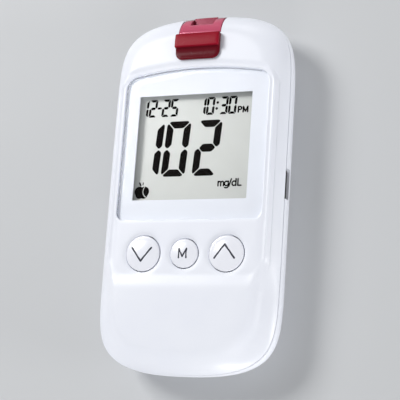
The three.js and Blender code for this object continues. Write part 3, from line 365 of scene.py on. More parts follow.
class Plan:
    """A solid drawn in the plan, with a top and an underside given as heights over it.

    A feature is a loop inside which the top or the underside has another height, or which goes
    right through. A height is a number or a function of plan points.
    """

    def __init__(self, *domain):
        self.domain = [np.asarray(loop, float) for loop in domain]
        self.through = []
        self.tops = []
        self.unders = []
        self.rings = []
        self.loose = []

    def hole(self, loop):
        self.through.append(np.asarray(loop, float))

    def top(self, loop, height):
        self.tops.append((np.asarray(loop, float), height))

    def under(self, loop, height):
        self.unders.append((np.asarray(loop, float), height))

    def points(self, *groups):
        self.loose += [np.asarray(group, float) for group in groups]

    def edge(self, *groups):
        """Points right beside an edge, which are all kept, so that its rounding stays even."""
        self.rings += [np.asarray(group, float) for group in groups]

    def grid(self, spacing):
        """Loose points all over the plan, in staggered rows."""
        corners = np.concatenate(self.domain)
        low, high = corners.min(axis=0), corners.max(axis=0)
        rows = np.arange(low[1] + spacing / 2, high[1], spacing * math.sqrt(3) / 2)
        for count, y in enumerate(rows):
            x = np.arange(low[0] + spacing * (0.25 + 0.5 * (count % 2)), high[0], spacing)
            self.loose.append(np.column_stack([x, np.full(len(x), y)]))

    def triangles(self):
        loops = self.domain + self.through + [loop for loop, _ in self.tops + self.unders]
        fixed = np.concatenate(loops)
        edges = []
        start = 0
        for loop in loops:
            count = len(loop)
            edges += [(start + step, start + (step + 1) % count) for step in range(count)]
            start += count
        beside = apart(fixed, self.rings)
        kept = thinned(np.concatenate([fixed, beside]), self.loose)
        coords = [Vector(point) for point in np.concatenate([fixed, beside, kept])]
        made = delaunay_2d_cdt(coords, edges, [], 0, SAME_PLACE)
        points = np.array([tuple(point) for point in made[0]])
        faces = np.array([face for face in made[2] if len(face) == 3])
        middle = points[faces].mean(axis=1)
        keep = np.zeros(len(faces), bool)
        for loop in self.domain:
            keep |= inside(loop, middle)
        for loop in self.through:
            keep &= ~inside(loop, middle)
        faces, middle = faces[keep], middle[keep]
        a, b, c = (points[faces[:, k]] for k in range(3))
        turned = np.cross(b - a, c - a) < 0
        faces[turned] = faces[turned][:, ::-1]
        return points, faces, middle

    def build(self, name, top, under):
        points, faces, middle = self.triangles()
        corners, made = [], []
        sides = {}
        for side, base, features in ((1, top, self.tops), (-1, under, self.unders)):
            region = np.zeros(len(faces), int)
            for number, (loop, _) in enumerate(features):
                region[inside(loop, middle)] = number + 1
            heights = [base] + [height for _, height in features]
            index = {}
            for number, height in enumerate(heights):
                used = np.unique(faces[region == number])
                if not len(used):
                    continue
                level = height(points[used]) if callable(height) else np.full(len(used), height)
                for vertex, z in zip(used, level):
                    index[vertex, number] = len(corners)
                    corners.append((*points[vertex], z))
            for face, number in zip(faces, region):
                ring = [index[vertex, number] for vertex in face]
                made.append(ring if side > 0 else ring[::-1])
            sides[side] = (region, index)
        owner = {}
        for number, face in enumerate(faces):
            for a, b in zip(face, np.roll(face, -1)):
                owner[a, b] = number
        for (a, b), number in owner.items():
            other = owner.get((b, a))
            for side, (region, index) in sides.items():
                if other is not None and a < b and region[number] != region[other]:
                    r, s = region[number], region[other]
                    made.append([index[a, r], index[b, r], index[b, s], index[a, s]])
            if other is None:
                (upper, up), (lower, down) = sides[1], sides[-1]
                r, s = upper[number], lower[number]
                made.append([up[a, r], up[b, r], down[b, s], down[a, s]])
        return new_object(name, corners, made)


def apart(fixed, groups):
    """The points of some groups that don't lie on a fixed point."""
    if not groups:
        return np.zeros((0, 2))
    points = np.concatenate(groups)
    gaps = np.hypot(*(points[:, None] - fixed[None]).transpose(2, 0, 1)).min(axis=1)
    return points[gaps > STEP]


def thinned(fixed, groups):
    """Loose points without those that lie too close to the loops or to each other."""
    if not groups:
        return np.zeros((0, 2))
    loose = np.concatenate(groups)
    reach = np.concatenate([np.full(len(g), CLOSENESS * group_spacing(g)) for g in groups])
    tree = KDTree(len(fixed) + len(loose))
    for number, point in enumerate(np.concatenate([fixed, loose])):
        tree.insert((*point, 0), number)
    tree.balance()
    keep = np.ones(len(loose), bool)
    for number, point in enumerate(loose):
        for _, other, gap in tree.find_range((*point, 0), reach[number]):
            first = other - len(fixed)
            if first < 0 or (first < number and keep[first] and gap < reach[number]):
                keep[number] = False
                break
    return loose[keep]


def group_spacing(group):
    """The usual distance between neighbours in a group of points."""
    if len(group) < 2:
        return LONE_SPACING
    return float(np.median(np.hypot(*np.diff(group, axis=0).T)))


def ring_faces(rings, sides):
    """Faces that join rings of points, each with the same number of sides, one after another."""
    faces = []
    for start in range(0, (rings - 1) * sides, sides):
        for step in range(sides):
            a, b = start + step, start + (step + 1) % sides
            faces.append([a, b, b + sides, a + sides])
    return faces


def end_faces(rings, sides):
    return [list(range(sides)), list(range((rings - 1) * sides, rings * sides))]


def prism(name, section, start, end):
    """A bar along X with a section in Y and Z."""
    points = [(x, y, z) for x in (start, end) for y, z in section]
    return new_object(name, points, ring_faces(2, len(section)) + end_faces(2, len(section)))


def carve(piece, *cutters):
    """Cuts the cutters out of a piece for good."""
    for cutter in cutters:
        modifier = piece.modifiers.new("cut", "BOOLEAN")
        modifier.object = cutter
        modifier.solver = "EXACT"
        bpy.context.view_layer.update()
        shape = piece.evaluated_get(bpy.context.evaluated_depsgraph_get())
        piece.data = bpy.data.meshes.new_from_object(shape)
        piece.modifiers.clear()
    for cutter in cutters:
        bpy.data.objects.remove(cutter)
    shade(piece)


# Materials
def plain_material(name, color, roughness, **sockets):
    """A Principled material with its even values set on the shader itself."""
    made = bpy.data.materials.new(name)
    made.use_nodes = True
    shader = made.node_tree.nodes["Principled BSDF"]
    shader.inputs["Base Color"].default_value = (*color, 1)
    shader.inputs["Roughness"].default_value = roughness
    for socket, value in sockets.items():
        shader.inputs[socket.replace("_", " ")].default_value = value
    return made


def add_node(tree, kind, feeds=None, **values):
    """A node with some settings and input values, and the sources that feed its inputs."""
    made = tree.nodes.new(kind)
    for name, value in values.items():
        if hasattr(made, name):
            setattr(made, name, value)
        else:
            made.inputs[name.replace("_", " ")].default_value = value
    for name, source in (feeds or {}).items():
        tree.links.new(source, made.inputs[name])
    return made


def noise(tree, scale, detail, stretch):
    place = add_node(tree, "ShaderNodeTexCoord").outputs["Object"]
    moved = add_node(tree, "ShaderNodeMapping", {"Vector": place}, Scale=stretch).outputs["Vector"]
    texture = add_node(tree, "ShaderNodeTexNoise", {"Vector": moved}, Scale=scale, Detail=detail)
    return texture.outputs["Fac"]


def ramp(tree, source, low, high, start=0.3, end=0.7):
    """A colour or grey between two values as a source goes from start to end."""
    made = add_node(tree, "ShaderNodeValToRGB", {"Fac": source})
    for element, place, color in zip(made.color_ramp.elements, (start, end), (low, high)):
        element.position = place
        element.color = (*color, 1)
    return made.outputs["Color"]


PATCH_DETAIL, GLOSS_DETAIL, GRAIN_DETAIL = 4, 5, 2
GLOSS_FINENESS = 4


def surface(name, low, high, rough, grain=2200, depth=0.01, patch=60, stretch=(1, 1, 1), **sockets):
    """A moulded or metal surface: two close colours in patches, uneven gloss and a fine grain."""
    made = plain_material(name, low, rough[0], **sockets)
    tree = made.node_tree
    shader = tree.nodes["Principled BSDF"]
    color = ramp(tree, noise(tree, patch, PATCH_DETAIL, stretch), low, high)
    gloss = noise(tree, patch * GLOSS_FINENESS, GLOSS_DETAIL, stretch)
    gloss = ramp(tree, gloss, (rough[0],) * 3, (rough[1],) * 3)
    height = {"Height": noise(tree, grain, GRAIN_DETAIL, stretch)}
    bump = add_node(tree, "ShaderNodeBump", height, Strength=1, Distance=depth * MM)
    tree.links.new(color, shader.inputs["Base Color"])
    tree.links.new(gloss, shader.inputs["Roughness"])
    tree.links.new(bump.outputs["Normal"], shader.inputs["Normal"])
    return made


def painted_shade_below(made, dark, low, high):
    """Painted shade: the colour darkens towards a darker red low down, standing in for the shade that
    falls in the port's notch and in the slider's hollow under its ledge.
    """
    tree = made.node_tree
    base = tree.nodes["Principled BSDF"].inputs["Base Color"]
    place = add_node(tree, "ShaderNodeTexCoord").outputs["Object"]
    height = add_node(tree, "ShaderNodeSeparateXYZ", {0: place}).outputs["Z"]
    level = add_node(
        tree, "ShaderNodeMapRange", {"Value": height}, From_Min=low * MM, From_Max=high * MM,
    ).outputs["Result"]
    feeds = {"Factor": level, "B": base.links[0].from_socket}
    mix = add_node(tree, "ShaderNodeMix", feeds, data_type="RGBA", A=(*dark, 1))
    tree.links.new(mix.outputs["Result"], base)


def clear_where(made, factors, tint=(1, 1, 1)):
    """Makes a material clear where any of some factors is 1."""
    tree = made.node_tree
    clear = add_node(tree, "ShaderNodeBsdfTransparent", Color=(*tint, 1)).outputs["BSDF"]
    shown = tree.nodes["Principled BSDF"].outputs["BSDF"]
    for factor in factors:
        mix = add_node(tree, "ShaderNodeMixShader", {"Fac": factor, 1: shown, 2: clear})
        shown = mix.outputs["Shader"]
    tree.links.new(shown, tree.nodes["Material Output"].inputs["Surface"])


def lets_lamps_through(made, tint=(1, 1, 1)):
    """Light passes a clear piece unbent on its way to what lies behind."""
    rays = add_node(made.node_tree, "ShaderNodeLightPath").outputs
    clear_where(made, (rays["Is Diffuse Ray"], rays["Is Shadow Ray"]), tint)


case_white = surface(
    "case_white", (0.80, 0.82, 0.89), (0.83, 0.85, 0.91), (0.34, 0.42), depth=0.004,
    Coat_Weight=0.12, Coat_Roughness=0.22,
)
key_white = surface(
    "key_white", (0.80, 0.815, 0.875), (0.83, 0.84, 0.895), (0.26, 0.34), depth=0.004,
    Coat_Weight=0.25, Coat_Roughness=0.12,
)
print_white = surface("print_white", (0.80, 0.825, 0.885), (0.82, 0.84, 0.9), (0.4, 0.5), depth=0.002)
window_clear = plain_material("window_clear", (1, 1, 1), 0.03, Transmission_Weight=1.0, IOR=1.14)
lets_lamps_through(window_clear, (0.98, 0.985, 0.99))
film = surface(
    "film", (0.60, 0.612, 0.58), (0.625, 0.636, 0.605), (0.3, 0.42), grain=3500, depth=0.003, patch=90,
)
figures_dark = surface(
    "figures_dark", (0.005, 0.004, 0.004), (0.008, 0.007, 0.006), (0.6, 0.75), depth=0.002,
    Specular_IOR_Level=0.0,
)
mark_dark = surface(
    "mark_dark", (0.028, 0.03, 0.045), (0.036, 0.038, 0.056), (0.5, 0.6), depth=0.002,
    Specular_IOR_Level=0.25,
)
port_red = surface(
    "port_red", (0.5, 0.075, 0.14), (0.56, 0.09, 0.16), (0.12, 0.2), depth=0.004,
    Specular_IOR_Level=1.0, Specular_Tint=(1, 0.4, 0.52, 1),
)
# painted shade: the port's red darkens low down, in its notch and towards its foot
painted_shade_below(port_red, (0.2, 0.012, 0.03), 11.3, 13.2)
slider_red = surface(
    "slider_red", (0.27, 0.006, 0.019), (0.31, 0.009, 0.024), (0.2, 0.3), depth=0.004,
    Specular_IOR_Level=0.09,
)
# painted shade: the slider's red darkens in the hollow below its ledge
painted_shade_below(slider_red, (0.115, 0.003, 0.009), 16.3, 16.9)
steel = surface(
    "steel", (0.55, 0.56, 0.58), (0.66, 0.67, 0.69), (0.22, 0.38), grain=900, stretch=(1, 8, 1),
    Metallic=1.0,
)
gold = surface("gold", (0.78, 0.58, 0.24), (0.86, 0.66, 0.32), (0.2, 0.34), grain=1500, Metallic=1.0)
# Painted shade: a near-black copy of the steel, standing in for the shade inside the data socket's
# opening.
shaded_socket_metal = surface(
    "shaded_socket_metal", (0.05, 0.046, 0.044), (0.07, 0.062, 0.06), (0.3, 0.45), grain=900, Metallic=1.0,
)
inner_black = surface("inner_black", (0.022, 0.022, 0.026), (0.035, 0.035, 0.04), (0.42, 0.6), depth=0.02)
inner_white = surface("inner_white", (0.70, 0.71, 0.72), (0.76, 0.77, 0.77), (0.4, 0.55), depth=0.015)
contact_rubber = surface(
    "contact_rubber", (0.03, 0.03, 0.032), (0.12, 0.12, 0.12), (0.6, 0.8), patch=900, stretch=(4, 1, 1),
)
lcd_glass = plain_material("lcd_glass", (0.9, 0.93, 0.9), 0.05, Transmission_Weight=0.9, IOR=1.5)
lets_lamps_through(lcd_glass)
guide_clear = surface(
    "guide_clear", (0.80, 0.83, 0.80), (0.86, 0.88, 0.85), (0.25, 0.4), Transmission_Weight=0.3,
)
board_green = surface(
    "board", (0.015, 0.13, 0.05), (0.03, 0.2, 0.09), (0.3, 0.45), grain=1200, depth=0.02, patch=220,
)
MATERIAL_OF_SLOT = {
    "case_white": case_white, "key_white": key_white, "window_clear": window_clear, "film": film,
    "lcd_glass": lcd_glass, "guide_clear": guide_clear, "inner_white": inner_white,
    "contact_rubber": contact_rubber, "board": board_green, "inner_black": inner_black,
    "port_red": port_red, "contact_gold": gold, "steel": steel,
}
# the data socket's shell gets the near-black metal, as painted shade in its opening
MATERIAL_OF_NODE = {"data_socket_shell": shaded_socket_metal}


def dress(piece, body, made, node=None):
    """Gives a new piece its material and its body, and hides the CAD node that it stands for."""
    piece.data.materials.clear()
    piece.data.materials.append(made)
    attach(piece, body)
    if node:
        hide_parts(node)
    return piece


# Housing
PANEL = dense(arched(
    PANEL_HALF_WIDTH, PANEL_BOTTOM, PANEL_TOP, PANEL_BOTTOM_CORNER, PANEL_TOP_CORNER, ARCH_RADIUS,
), SPACING["panel"])


def window_loop(side, top):
    """The window's outline, grown by a gap at its sides and foot and by another at its top."""
    return dense(arched(
        window_high[0] + side, window_low[1] - side, window_high[1] + top,
        WINDOW_BOTTOM_CORNER + side, WINDOW_TOP_CORNER + top, ARCH_RADIUS + top,
    ), SPACING["panel"])


def key_facts(name):
    """Middle, radius and top of a key's cap."""
    low, high = span(f"{name}_button")
    middle = (low + high) / 2
    return middle[:2], (high[0] - low[0]) / 2 - KEY_FLANGE, high[2]


def rounding(share):
    rest = 1 - np.clip(share, 0, 1)
    return (1 - rest ** FRONT_POWER) ** (1 / FRONT_POWER)


def valley(points, inset):
    outer = np.sin(np.clip(inset / VALLEY_INSET, 0, 1) * np.pi / 2)
    inner = 1 - climb(inset, VALLEY_INSET, VALLEY_INSET + VALLEY_WIDTH)
    along = climb(-points[:, 1], VALLEY_START, VALLEY_START + VALLEY_BLEND)
    across = climb(np.abs(points[:, 0]), VALLEY_FADE_INNER, VALLEY_FADE_OUTER)
    return VALLEY_DEPTH * outer * inner ** VALLEY_POWER * along * across


def face_form(points, inset):
    rise = FACE_RISE - END_DROP * (points[:, 1] / HALF_LENGTH) ** 2
    return GIRTH + rounding(inset / FRONT_ROUND) * rise - valley(points, inset)


def edge_fall(gap, radius=EDGE_ROUND):
    """How far a rounded edge has fallen at a distance from it."""
    rest = np.clip(radius - gap, 0, radius)
    return radius - np.sqrt(radius ** 2 - rest ** 2)


POCKET = window_loop(WINDOW_GAP, WINDOW_TOP_GAP)


def front_top(points):
    form = face_form(points, inset_of(points))
    gap = distance(PANEL, points)
    y = points[:, 1]
    below = climb(-y, -EDGE_SOFTENS[0], -EDGE_SOFTENS[1])
    foot = np.minimum(form, FACE)
    rim_width = RIM_WIDTH + (RIM_WIDTH_BELOW - RIM_WIDTH) * below
    rim_start = RIM_START_BELOW * below
    outside = foot + (form - foot) * climb((gap + rim_start) / rim_width, 0, 1)
    widening = climb(-y, -GROOVE_WIDENS[0], -GROOVE_WIDENS[1])
    inner = GROOVE_INNER + (GROOVE_INNER_BELOW - GROOVE_INNER) * widening
    across = (gap - GROOVE_MIDDLE) / np.where(gap < GROOVE_MIDDLE, inner, GROOVE_OUTER)
    groove = np.clip(1 - across ** 2, 0, 1) ** GROOVE_POWER
    sides = (1 - climb(y, *GROOVE_TOP_FADE)) * climb(y, *GROOVE_BOTTOM_FADE)
    panel = FACE - GROOVE_DEPTH * groove * sides
    start = PANEL_ROUND + (PANEL_ROUND_BELOW - PANEL_ROUND) * below
    end = PANEL_FOOT + (PANEL_FOOT_BELOW - PANEL_FOOT) * below
    height = panel + (outside - panel) * climb((gap + start) / (start + end), 0, 1)
    line = np.clip(1 - ((gap - OUTER_LINE) / OUTER_LINE_HALF) ** 2, 0, 1) ** GROOVE_POWER
    height -= OUTER_LINE_DEPTH * line * sides
    height -= edge_fall(np.abs(distance(POCKET, points)))
    for name in KEYS:
        middle, radius, _ = key_facts(name)
        rim = away(points, middle) - radius - KEY_GAP
        height -= DISH_DEPTH * (1 - climb(rim, 0, DISH_WIDTH)) + edge_fall(rim)
    return height


def front_under(points):
    inset = inset_of(points)
    hollow = GIRTH + (ROOF - GIRTH) * rounding((inset - WALL) / HOLLOW_ROUND)
    return np.where(inset < REBATE_INSET, FRONT_FOOT, np.maximum(hollow, REBATE_TOP))


def foot_inset(height):
    """The inset at which the front rounding passes a height near the girth."""
    share = (height - GIRTH) / FACE_RISE
    return FRONT_ROUND * (1 - (1 - share ** FRONT_POWER) ** (1 / FRONT_POWER))


CASE_SCREWS = [f"case_screw_{number}" for number in range(1, 5)]
BOARD_SCREWS = [f"board_screw_{number}" for number in range(1, 5)]
BOSS_STEPS = 24
PILOT_STEPS = 16
CASE_BOSS = {"radius": 2.4, "foot": 4.8, "pilot": 1.03, "pilot_end": 10.4}
BOARD_BOSS = {"radius": 1.7, "foot": 8.05, "pilot": 0.78, "pilot_end": 11.2}
CHANNEL_GAP = 0.15
STEM_SLOT = (-1.7, 1.7, 35.0, 42.0)
CARRIAGE_POCKETS = ((-4.7, 4.7, 29.9, 42.1), (4.7, 10.4, 31.1, 42.6))
CARRIAGE_ROOF = 13.05


def middle_of(node):
    low, high = span(node)
    return ((low + high) / 2)[:2]


def make_front_cover():
    plan = Plan(outline(foot_inset(FRONT_FOOT)))
    plan.points(*(outline(inset) for inset in FRONT_RINGS))
    outer = [outline(inset) for inset in FACE_RINGS]
    plan.points(*(ring[distance(PANEL, ring) > PANEL_RINGS[-1] + PANEL_CLEARANCE] for ring in outer))
    plan.edge(*offset_loops(PANEL, PANEL_RINGS))
    plan.points(*offset_loops(PANEL, PANEL_INNER_RINGS))
    plan.edge(*offset_loops(POCKET, FRONT_EDGE_RINGS, SPACING["pocket"]))
    for name in KEYS:
        middle, radius, _ = key_facts(name)
        radius += KEY_GAP
        plan.hole(circle(middle, radius))
        plan.edge(*circles(middle, radius + np.array(FRONT_EDGE_RINGS)))
        plan.points(*circles(middle, radius + np.array(DISH_RINGS), LOOSE_STEPS))
    plan.grid(GRID["front"])
    plan.top(POCKET, SEAT)
    plan.hole(rounded_rectangle((0, DISPLAY_MIDDLE), APERTURE_HALF, APERTURE_CORNER))
    plan.hole(rectangle(*STEM_SLOT))
    channel = port_high[0] + CHANNEL_GAP
    plan.hole(rectangle(-channel, channel, port_low[1] - CHANNEL_GAP, HALF_LENGTH + BEYOND))
    for pocket in CARRIAGE_POCKETS:
        plan.under(rectangle(*pocket), CARRIAGE_ROOF)
    for screws, boss in ((CASE_SCREWS, CASE_BOSS), (BOARD_SCREWS, BOARD_BOSS)):
        for node in screws:
            plan.under(circle(middle_of(node), boss["radius"], BOSS_STEPS), boss["foot"])
            plan.under(circle(middle_of(node), boss["pilot"], PILOT_STEPS), boss["pilot_end"])
    cover = plan.build("front_shell", front_top, front_under)
    carve(cover, socket_bar())
    dress(cover, "housing", case_white, "front_cover")


SOCKET_OPENING = 0.3
SOCKET_CORNER = 0.8


def socket_bar():
    """The bar that cuts the data socket's opening into both shells."""
    low, high = socket_low - SOCKET_OPENING, socket_high + SOCKET_OPENING
    middle = ((low + high) / 2)[1:]
    section = rounded_rectangle(middle, (high - low)[1:] / 2, SOCKET_CORNER)
    return prism("socket_bar", section, socket_low[0], HALF_WIDTH + 2 * BEYOND)


BACK_FLOOR = 2
DOOR_CORNER = 2.4
DOOR_GAP = 0.3
DOOR_LEDGE = 1.3
RECESS_DEPTH = 1.4
HEAD_RADIUS = 1.95
HEAD_DEPTH = 1.9
SHANK_RADIUS = 1.03
POST_TOP = 4.65
POST_STEPS = 32
HEAD_STEPS = 48
SHANK_STEPS = 24
ROUND_TURNS = np.arange(4, 91, 6)
LIP_RINGS = (STEP, 0.6, LIP_INSET - STEP, LIP_INSET + STEP, WALL - STEP, WALL + STEP)
RIBS = {"half": 14.4, "thickness": 1, "height": 3.6, "north": 28, "spacing": 11, "count": 3}
TAB_HALF = 2.3
TAB_SIDE = 6.8
TAB_NORTH = -8.9
TAB_BOTTOM = 1.1
TONGUE_HALF = 3.9


def back_top(points):
    """The inside of the back shell, its lip and its rim, over the plan."""
    inset = inset_of(points)
    rim = GIRTH + FACE_RISE * rounding(inset / FRONT_ROUND)
    turn = np.clip((inset - WALL) / BACK_ROUND, 0, 1)
    floor = GIRTH - (GIRTH - BACK_FLOOR) * np.sqrt(1 - (1 - turn) ** 2)
    height = np.minimum(rim, BACK_TOP)
    height = np.where(inset > LIP_INSET, LIP_TOP, height)
    return np.where(inset > WALL, floor, height)


def back_under(points):
    turn = np.clip(inset_of(points) / BACK_ROUND, 0, 1)
    height = GIRTH * (1 - np.sqrt(1 - (1 - turn) ** 2))
    height += edge_fall(np.abs(distance(DOOR_RECESS, points)))
    for node in CASE_SCREWS:
        height += edge_fall(np.abs(away(points, middle_of(node)) - HEAD_RADIUS))
    return height


DOOR_MIDDLE = (0, (span("coin_cell")[0] + span("coin_cell")[1])[1] / 2)
DOOR_HALF = np.array((door_high[0], 12.6))
DOOR_SOUTH = DOOR_MIDDLE[1] - DOOR_HALF[1]
DOOR_NORTH = DOOR_MIDDLE[1] + DOOR_HALF[1]
DOOR_PLAN = dense(rounded_rectangle(DOOR_MIDDLE, DOOR_HALF, DOOR_CORNER), SPACING["door"])
DOOR_RECESS = dense(
    rounded_rectangle(DOOR_MIDDLE, DOOR_HALF + DOOR_GAP, DOOR_CORNER + DOOR_GAP), SPACING["recess"],
)


def make_back_cover():
    plan = Plan(outline(0))
    turned_in = BACK_ROUND * (1 - np.cos(np.radians(ROUND_TURNS)))
    rings = [*turned_in, *(WALL + turned_in), *LIP_RINGS, foot_inset(BACK_TOP)]
    plan.points(*(outline(inset) for inset in sorted(rings)))
    plan.edge(*offset_loops(DOOR_RECESS, BACK_EDGE_RINGS, SPACING["door"]))
    for node in CASE_SCREWS:
        middle = middle_of(node)
        plan.edge(*circles(middle, HEAD_RADIUS + np.array(BACK_EDGE_RINGS), HEAD_STEPS))
        plan.top(circle(middle, CASE_BOSS["radius"], POST_STEPS), POST_TOP)
        plan.under(circle(middle, HEAD_RADIUS, HEAD_STEPS), HEAD_DEPTH)
        plan.hole(circle(middle, SHANK_RADIUS, SHANK_STEPS))
    for copy in range(RIBS["count"]):
        y = RIBS["north"] - copy * RIBS["spacing"]
        half = RIBS["thickness"] / 2
        plan.top(rectangle(-RIBS["half"], RIBS["half"], y - half, y + half), RIBS["height"])
    plan.under(DOOR_RECESS, RECESS_DEPTH)
    south = door_low[1] - DOOR_GAP
    plan.under(rectangle(-TONGUE_HALF, TONGUE_HALF, south, DOOR_MIDDLE[1]), RECESS_DEPTH)
    plan.hole(rounded_rectangle(DOOR_MIDDLE, DOOR_HALF - DOOR_LEDGE, DOOR_CORNER))
    north = DOOR_NORTH + DOOR_GAP
    for side in (-TAB_SIDE, TAB_SIDE):
        left, right = side - TAB_HALF, side + TAB_HALF
        plan.hole(rectangle(left, right, north - DOOR_LEDGE - DOOR_GAP - BEYOND, north))
        plan.top(rectangle(left, right, north, TAB_NORTH), TAB_BOTTOM)
    plan.grid(GRID["back"])
    cover = plan.build("back_shell", back_top, back_under)
    carve(cover, socket_bar(), port_notch())
    dress(cover, "housing", case_white, "back_cover")


def port_notch():
    """The bar that cuts the port's seat into the back shell's lip."""
    low, high = BACK_TOP - CHANNEL_GAP, LIP_TOP + BEYOND
    section = rectangle(HALF_LENGTH - WALL - BEYOND, HALF_LENGTH + BEYOND, low, high)
    half = port_high[0] + CHANNEL_GAP
    return prism("port_notch", section, -half, half)


# Battery door
GRIP = {
    "count": 4, "spacing": 1.5, "depth": 0.35, "width": 0.9, "half": 4.2, "south": 1.3, "fade": 0.6,
}
GRIP_SHIFTS = np.linspace(-0.5, 0.5, 7) * GRIP["width"]
GRIP_REACH = GRIP["half"] + 0.1
GRIP_POINTS = 36
GRIP_ROWS = [DOOR_SOUTH + GRIP["south"] + count * GRIP["spacing"] for count in range(1, GRIP["count"] + 1)]
DOOR_PLATE = 1.25
DOOR_EDGE = 0.3
DOOR_RINGS = (0.04, 0.1, 0.2, DOOR_EDGE)
DOOR_TAB = {"half": 2, "bottom": 1.4, "top": 2.2}
DOOR_TONGUE = {"half": 3.6, "bottom": 0.1, "top": 0.9}
DOOR_RIM = {"width": 1, "top": 1.75}


def door_under(points):
    """The door's outer face, with its rounded edge and its grip grooves."""
    height = edge_fall(-distance(DOOR_PLAN, points), DOOR_EDGE)
    ends = 1 - climb(np.abs(points[:, 0]), GRIP["half"] - GRIP["fade"], GRIP["half"])
    for middle in GRIP_ROWS:
        share = np.clip(np.abs(points[:, 1] - middle) / (GRIP["width"] / 2), 0, 1)
        height += GRIP["depth"] * np.cos(share * np.pi / 2) ** 2 * ends
    tongue = points[:, 1] < DOOR_SOUTH - STEP
    return np.where(tongue, np.maximum(height, DOOR_TONGUE["bottom"]), height)


def make_door():
    half = DOOR_TONGUE["half"]
    tongue = rectangle(-half, half, door_low[1], DOOR_SOUTH + BEYOND)
    sides = [(side - DOOR_TAB["half"], side + DOOR_TAB["half"]) for side in (-TAB_SIDE, TAB_SIDE)]
    plan = Plan(DOOR_PLAN, tongue, *(rectangle(*side, DOOR_NORTH, door_high[1]) for side in sides))
    plan.edge(*offset_loops(DOOR_PLAN, -np.array(DOOR_RINGS), SPACING["door"]))
    for middle in GRIP_ROWS:
        plan.points(*(
            row(-GRIP_REACH, GRIP_REACH, middle + shift, GRIP_POINTS) for shift in GRIP_SHIFTS
        ))
    plan.grid(GRID["door"])
    inner = DOOR_HALF - DOOR_LEDGE - DOOR_GAP
    core = inner - DOOR_RIM["width"]
    plan.top(rounded_rectangle(DOOR_MIDDLE, inner, DOOR_CORNER), DOOR_RIM["top"])
    plan.top(rounded_rectangle(DOOR_MIDDLE, core, DOOR_CORNER - DOOR_RIM["width"]), DOOR_PLATE)
    plan.top(rectangle(-half, half, door_low[1], DOOR_SOUTH), DOOR_TONGUE["top"])
    for side in sides:
        plan.top(rectangle(*side, DOOR_NORTH - DOOR_LEDGE, door_high[1]), DOOR_TAB["top"])
        plan.under(rectangle(*side, DOOR_NORTH, door_high[1]), DOOR_TAB["bottom"])
    door = plan.build("cell_lid", DOOR_PLATE, door_under)
    dress(door, "cell_door", case_white, "battery_door")


# Window, its white print and the display's figures
def make_window():
    loop = window_loop(0, 0)
    plan = Plan(loop)
    plan.edge(*offset_loops(loop, -np.array(WINDOW_RINGS), SPACING["window"]))
    plan.grid(GRID["window"])
    top = lambda points: FACE - edge_fall(-distance(loop, points), WINDOW_EDGE)
    pane = plan.build("window_pane", top, window_low[2])
    dress(pane, "housing", window_clear, "display_window")


def make_window_print():
    plan = Plan(window_loop(-PRINT_MARGIN, -PRINT_MARGIN))
    plan.hole(rounded_rectangle(OPENING_MIDDLE, OPENING_HALF, OPENING_CORNER))
    top = window_low[2] - STEP
    layer = plan.build("window_print", top, top - PRINT_THICKNESS)
    dress(layer, "housing", print_white)


SOFTENED_REACH = 0.45


def softened(points, radius, steps=3):
    """A polygon with its corners rounded."""
    made = []
    for before, corner, after in zip(np.roll(points, 1, axis=0), points, np.roll(points, -1, axis=0)):
        start, end = (
            corner + way * min(SOFTENED_REACH, radius / np.hypot(*way))
            for way in (before - corner, after - corner)
        )
        for share in np.linspace(0, 1, steps + 1):
            rest = 1 - share
            made.append(rest ** 2 * start + 2 * share * rest * corner + share ** 2 * end)
    return np.array(made)


SEGMENTS_OF = {"0": "abcdef", "1": "bc", "2": "abged", "3": "abgcd", "5": "afgcd"}
# shares of a bar's stroke, and of the gap at a joint
CORNER_CUT_SHARE = 0.42
CORNER_ROUND_SHARE = 0.2
TIP_SHARE, TIP_GAP_SHARE, TIP_SIDE_SHARE = 0.45, 0.6, 0.35
MIDDLE_BAR_SHARE = 0.56


def segment_shapes(width, height, stroke, gap):
    """The seven bars of a figure as polygons, from its lower left corner."""
    flip = lambda shape: [(x, height - y) for x, y in shape]
    mirror = lambda shape: [(width - x, y) for x, y in shape]
    half = height / 2
    cut = CORNER_CUT_SHARE * stroke
    bar = MIDDLE_BAR_SHARE * stroke
    left, right = stroke + gap, width - stroke - gap
    top = [
        (gap + cut, height), (width - gap - cut, height), (width - gap - cut / 2, height - cut / 2),
        (right, height - stroke), (left, height - stroke), (gap + cut / 2, height - cut / 2),
    ]
    upper = [
        (width, height - gap - cut), (width - cut / 2, height - gap - cut / 2),
        (width - stroke, height - stroke - gap), (width - stroke, half + stroke / 2 + gap),
        (width - stroke * TIP_SHARE, half + gap * TIP_GAP_SHARE),
        (width, half + stroke * TIP_SIDE_SHARE + gap),
    ]
    middle = [
        (stroke / 2 + gap, half), (left, half + bar), (right, half + bar),
        (width - stroke / 2 - gap, half), (right, half - bar), (left, half - bar),
    ]
    return {
        "a": top, "b": upper, "c": flip(upper), "d": flip(top), "e": mirror(flip(upper)),
        "f": mirror(upper), "g": middle,
    }


FIGURE_HEIGHT = 0.025
FIGURE_LIFT = 0.004
READING = {"size": (6.9, 15.2), "stroke": 1.95, "gap": 0.17, "slant": 0.067, "foot": 3.74}
READING_PLACES = (("1", -17.28), ("0", -9.65), ("2", -0.78))
SMALL = {"size": (2.3, 4.9), "stroke": 0.66, "gap": 0.07, "slant": 0.067, "foot": 20.36}
DATE_PLACES = (("1", -17.05), ("2", -14.54), ("2", -10.78), ("5", -8.33))
DASH = ((-11.7, 22.82), (-11.05, 22.84), 0.6)
TIME_PLACES = (("1", -0.37), ("0", 2.08), ("3", 5.85), ("0", 8.3))
COLON_PLACES = ((5.15, 22.03), (5.33, 23.67))
COLON_RADIUS = 0.36
COLON_STEPS = 20
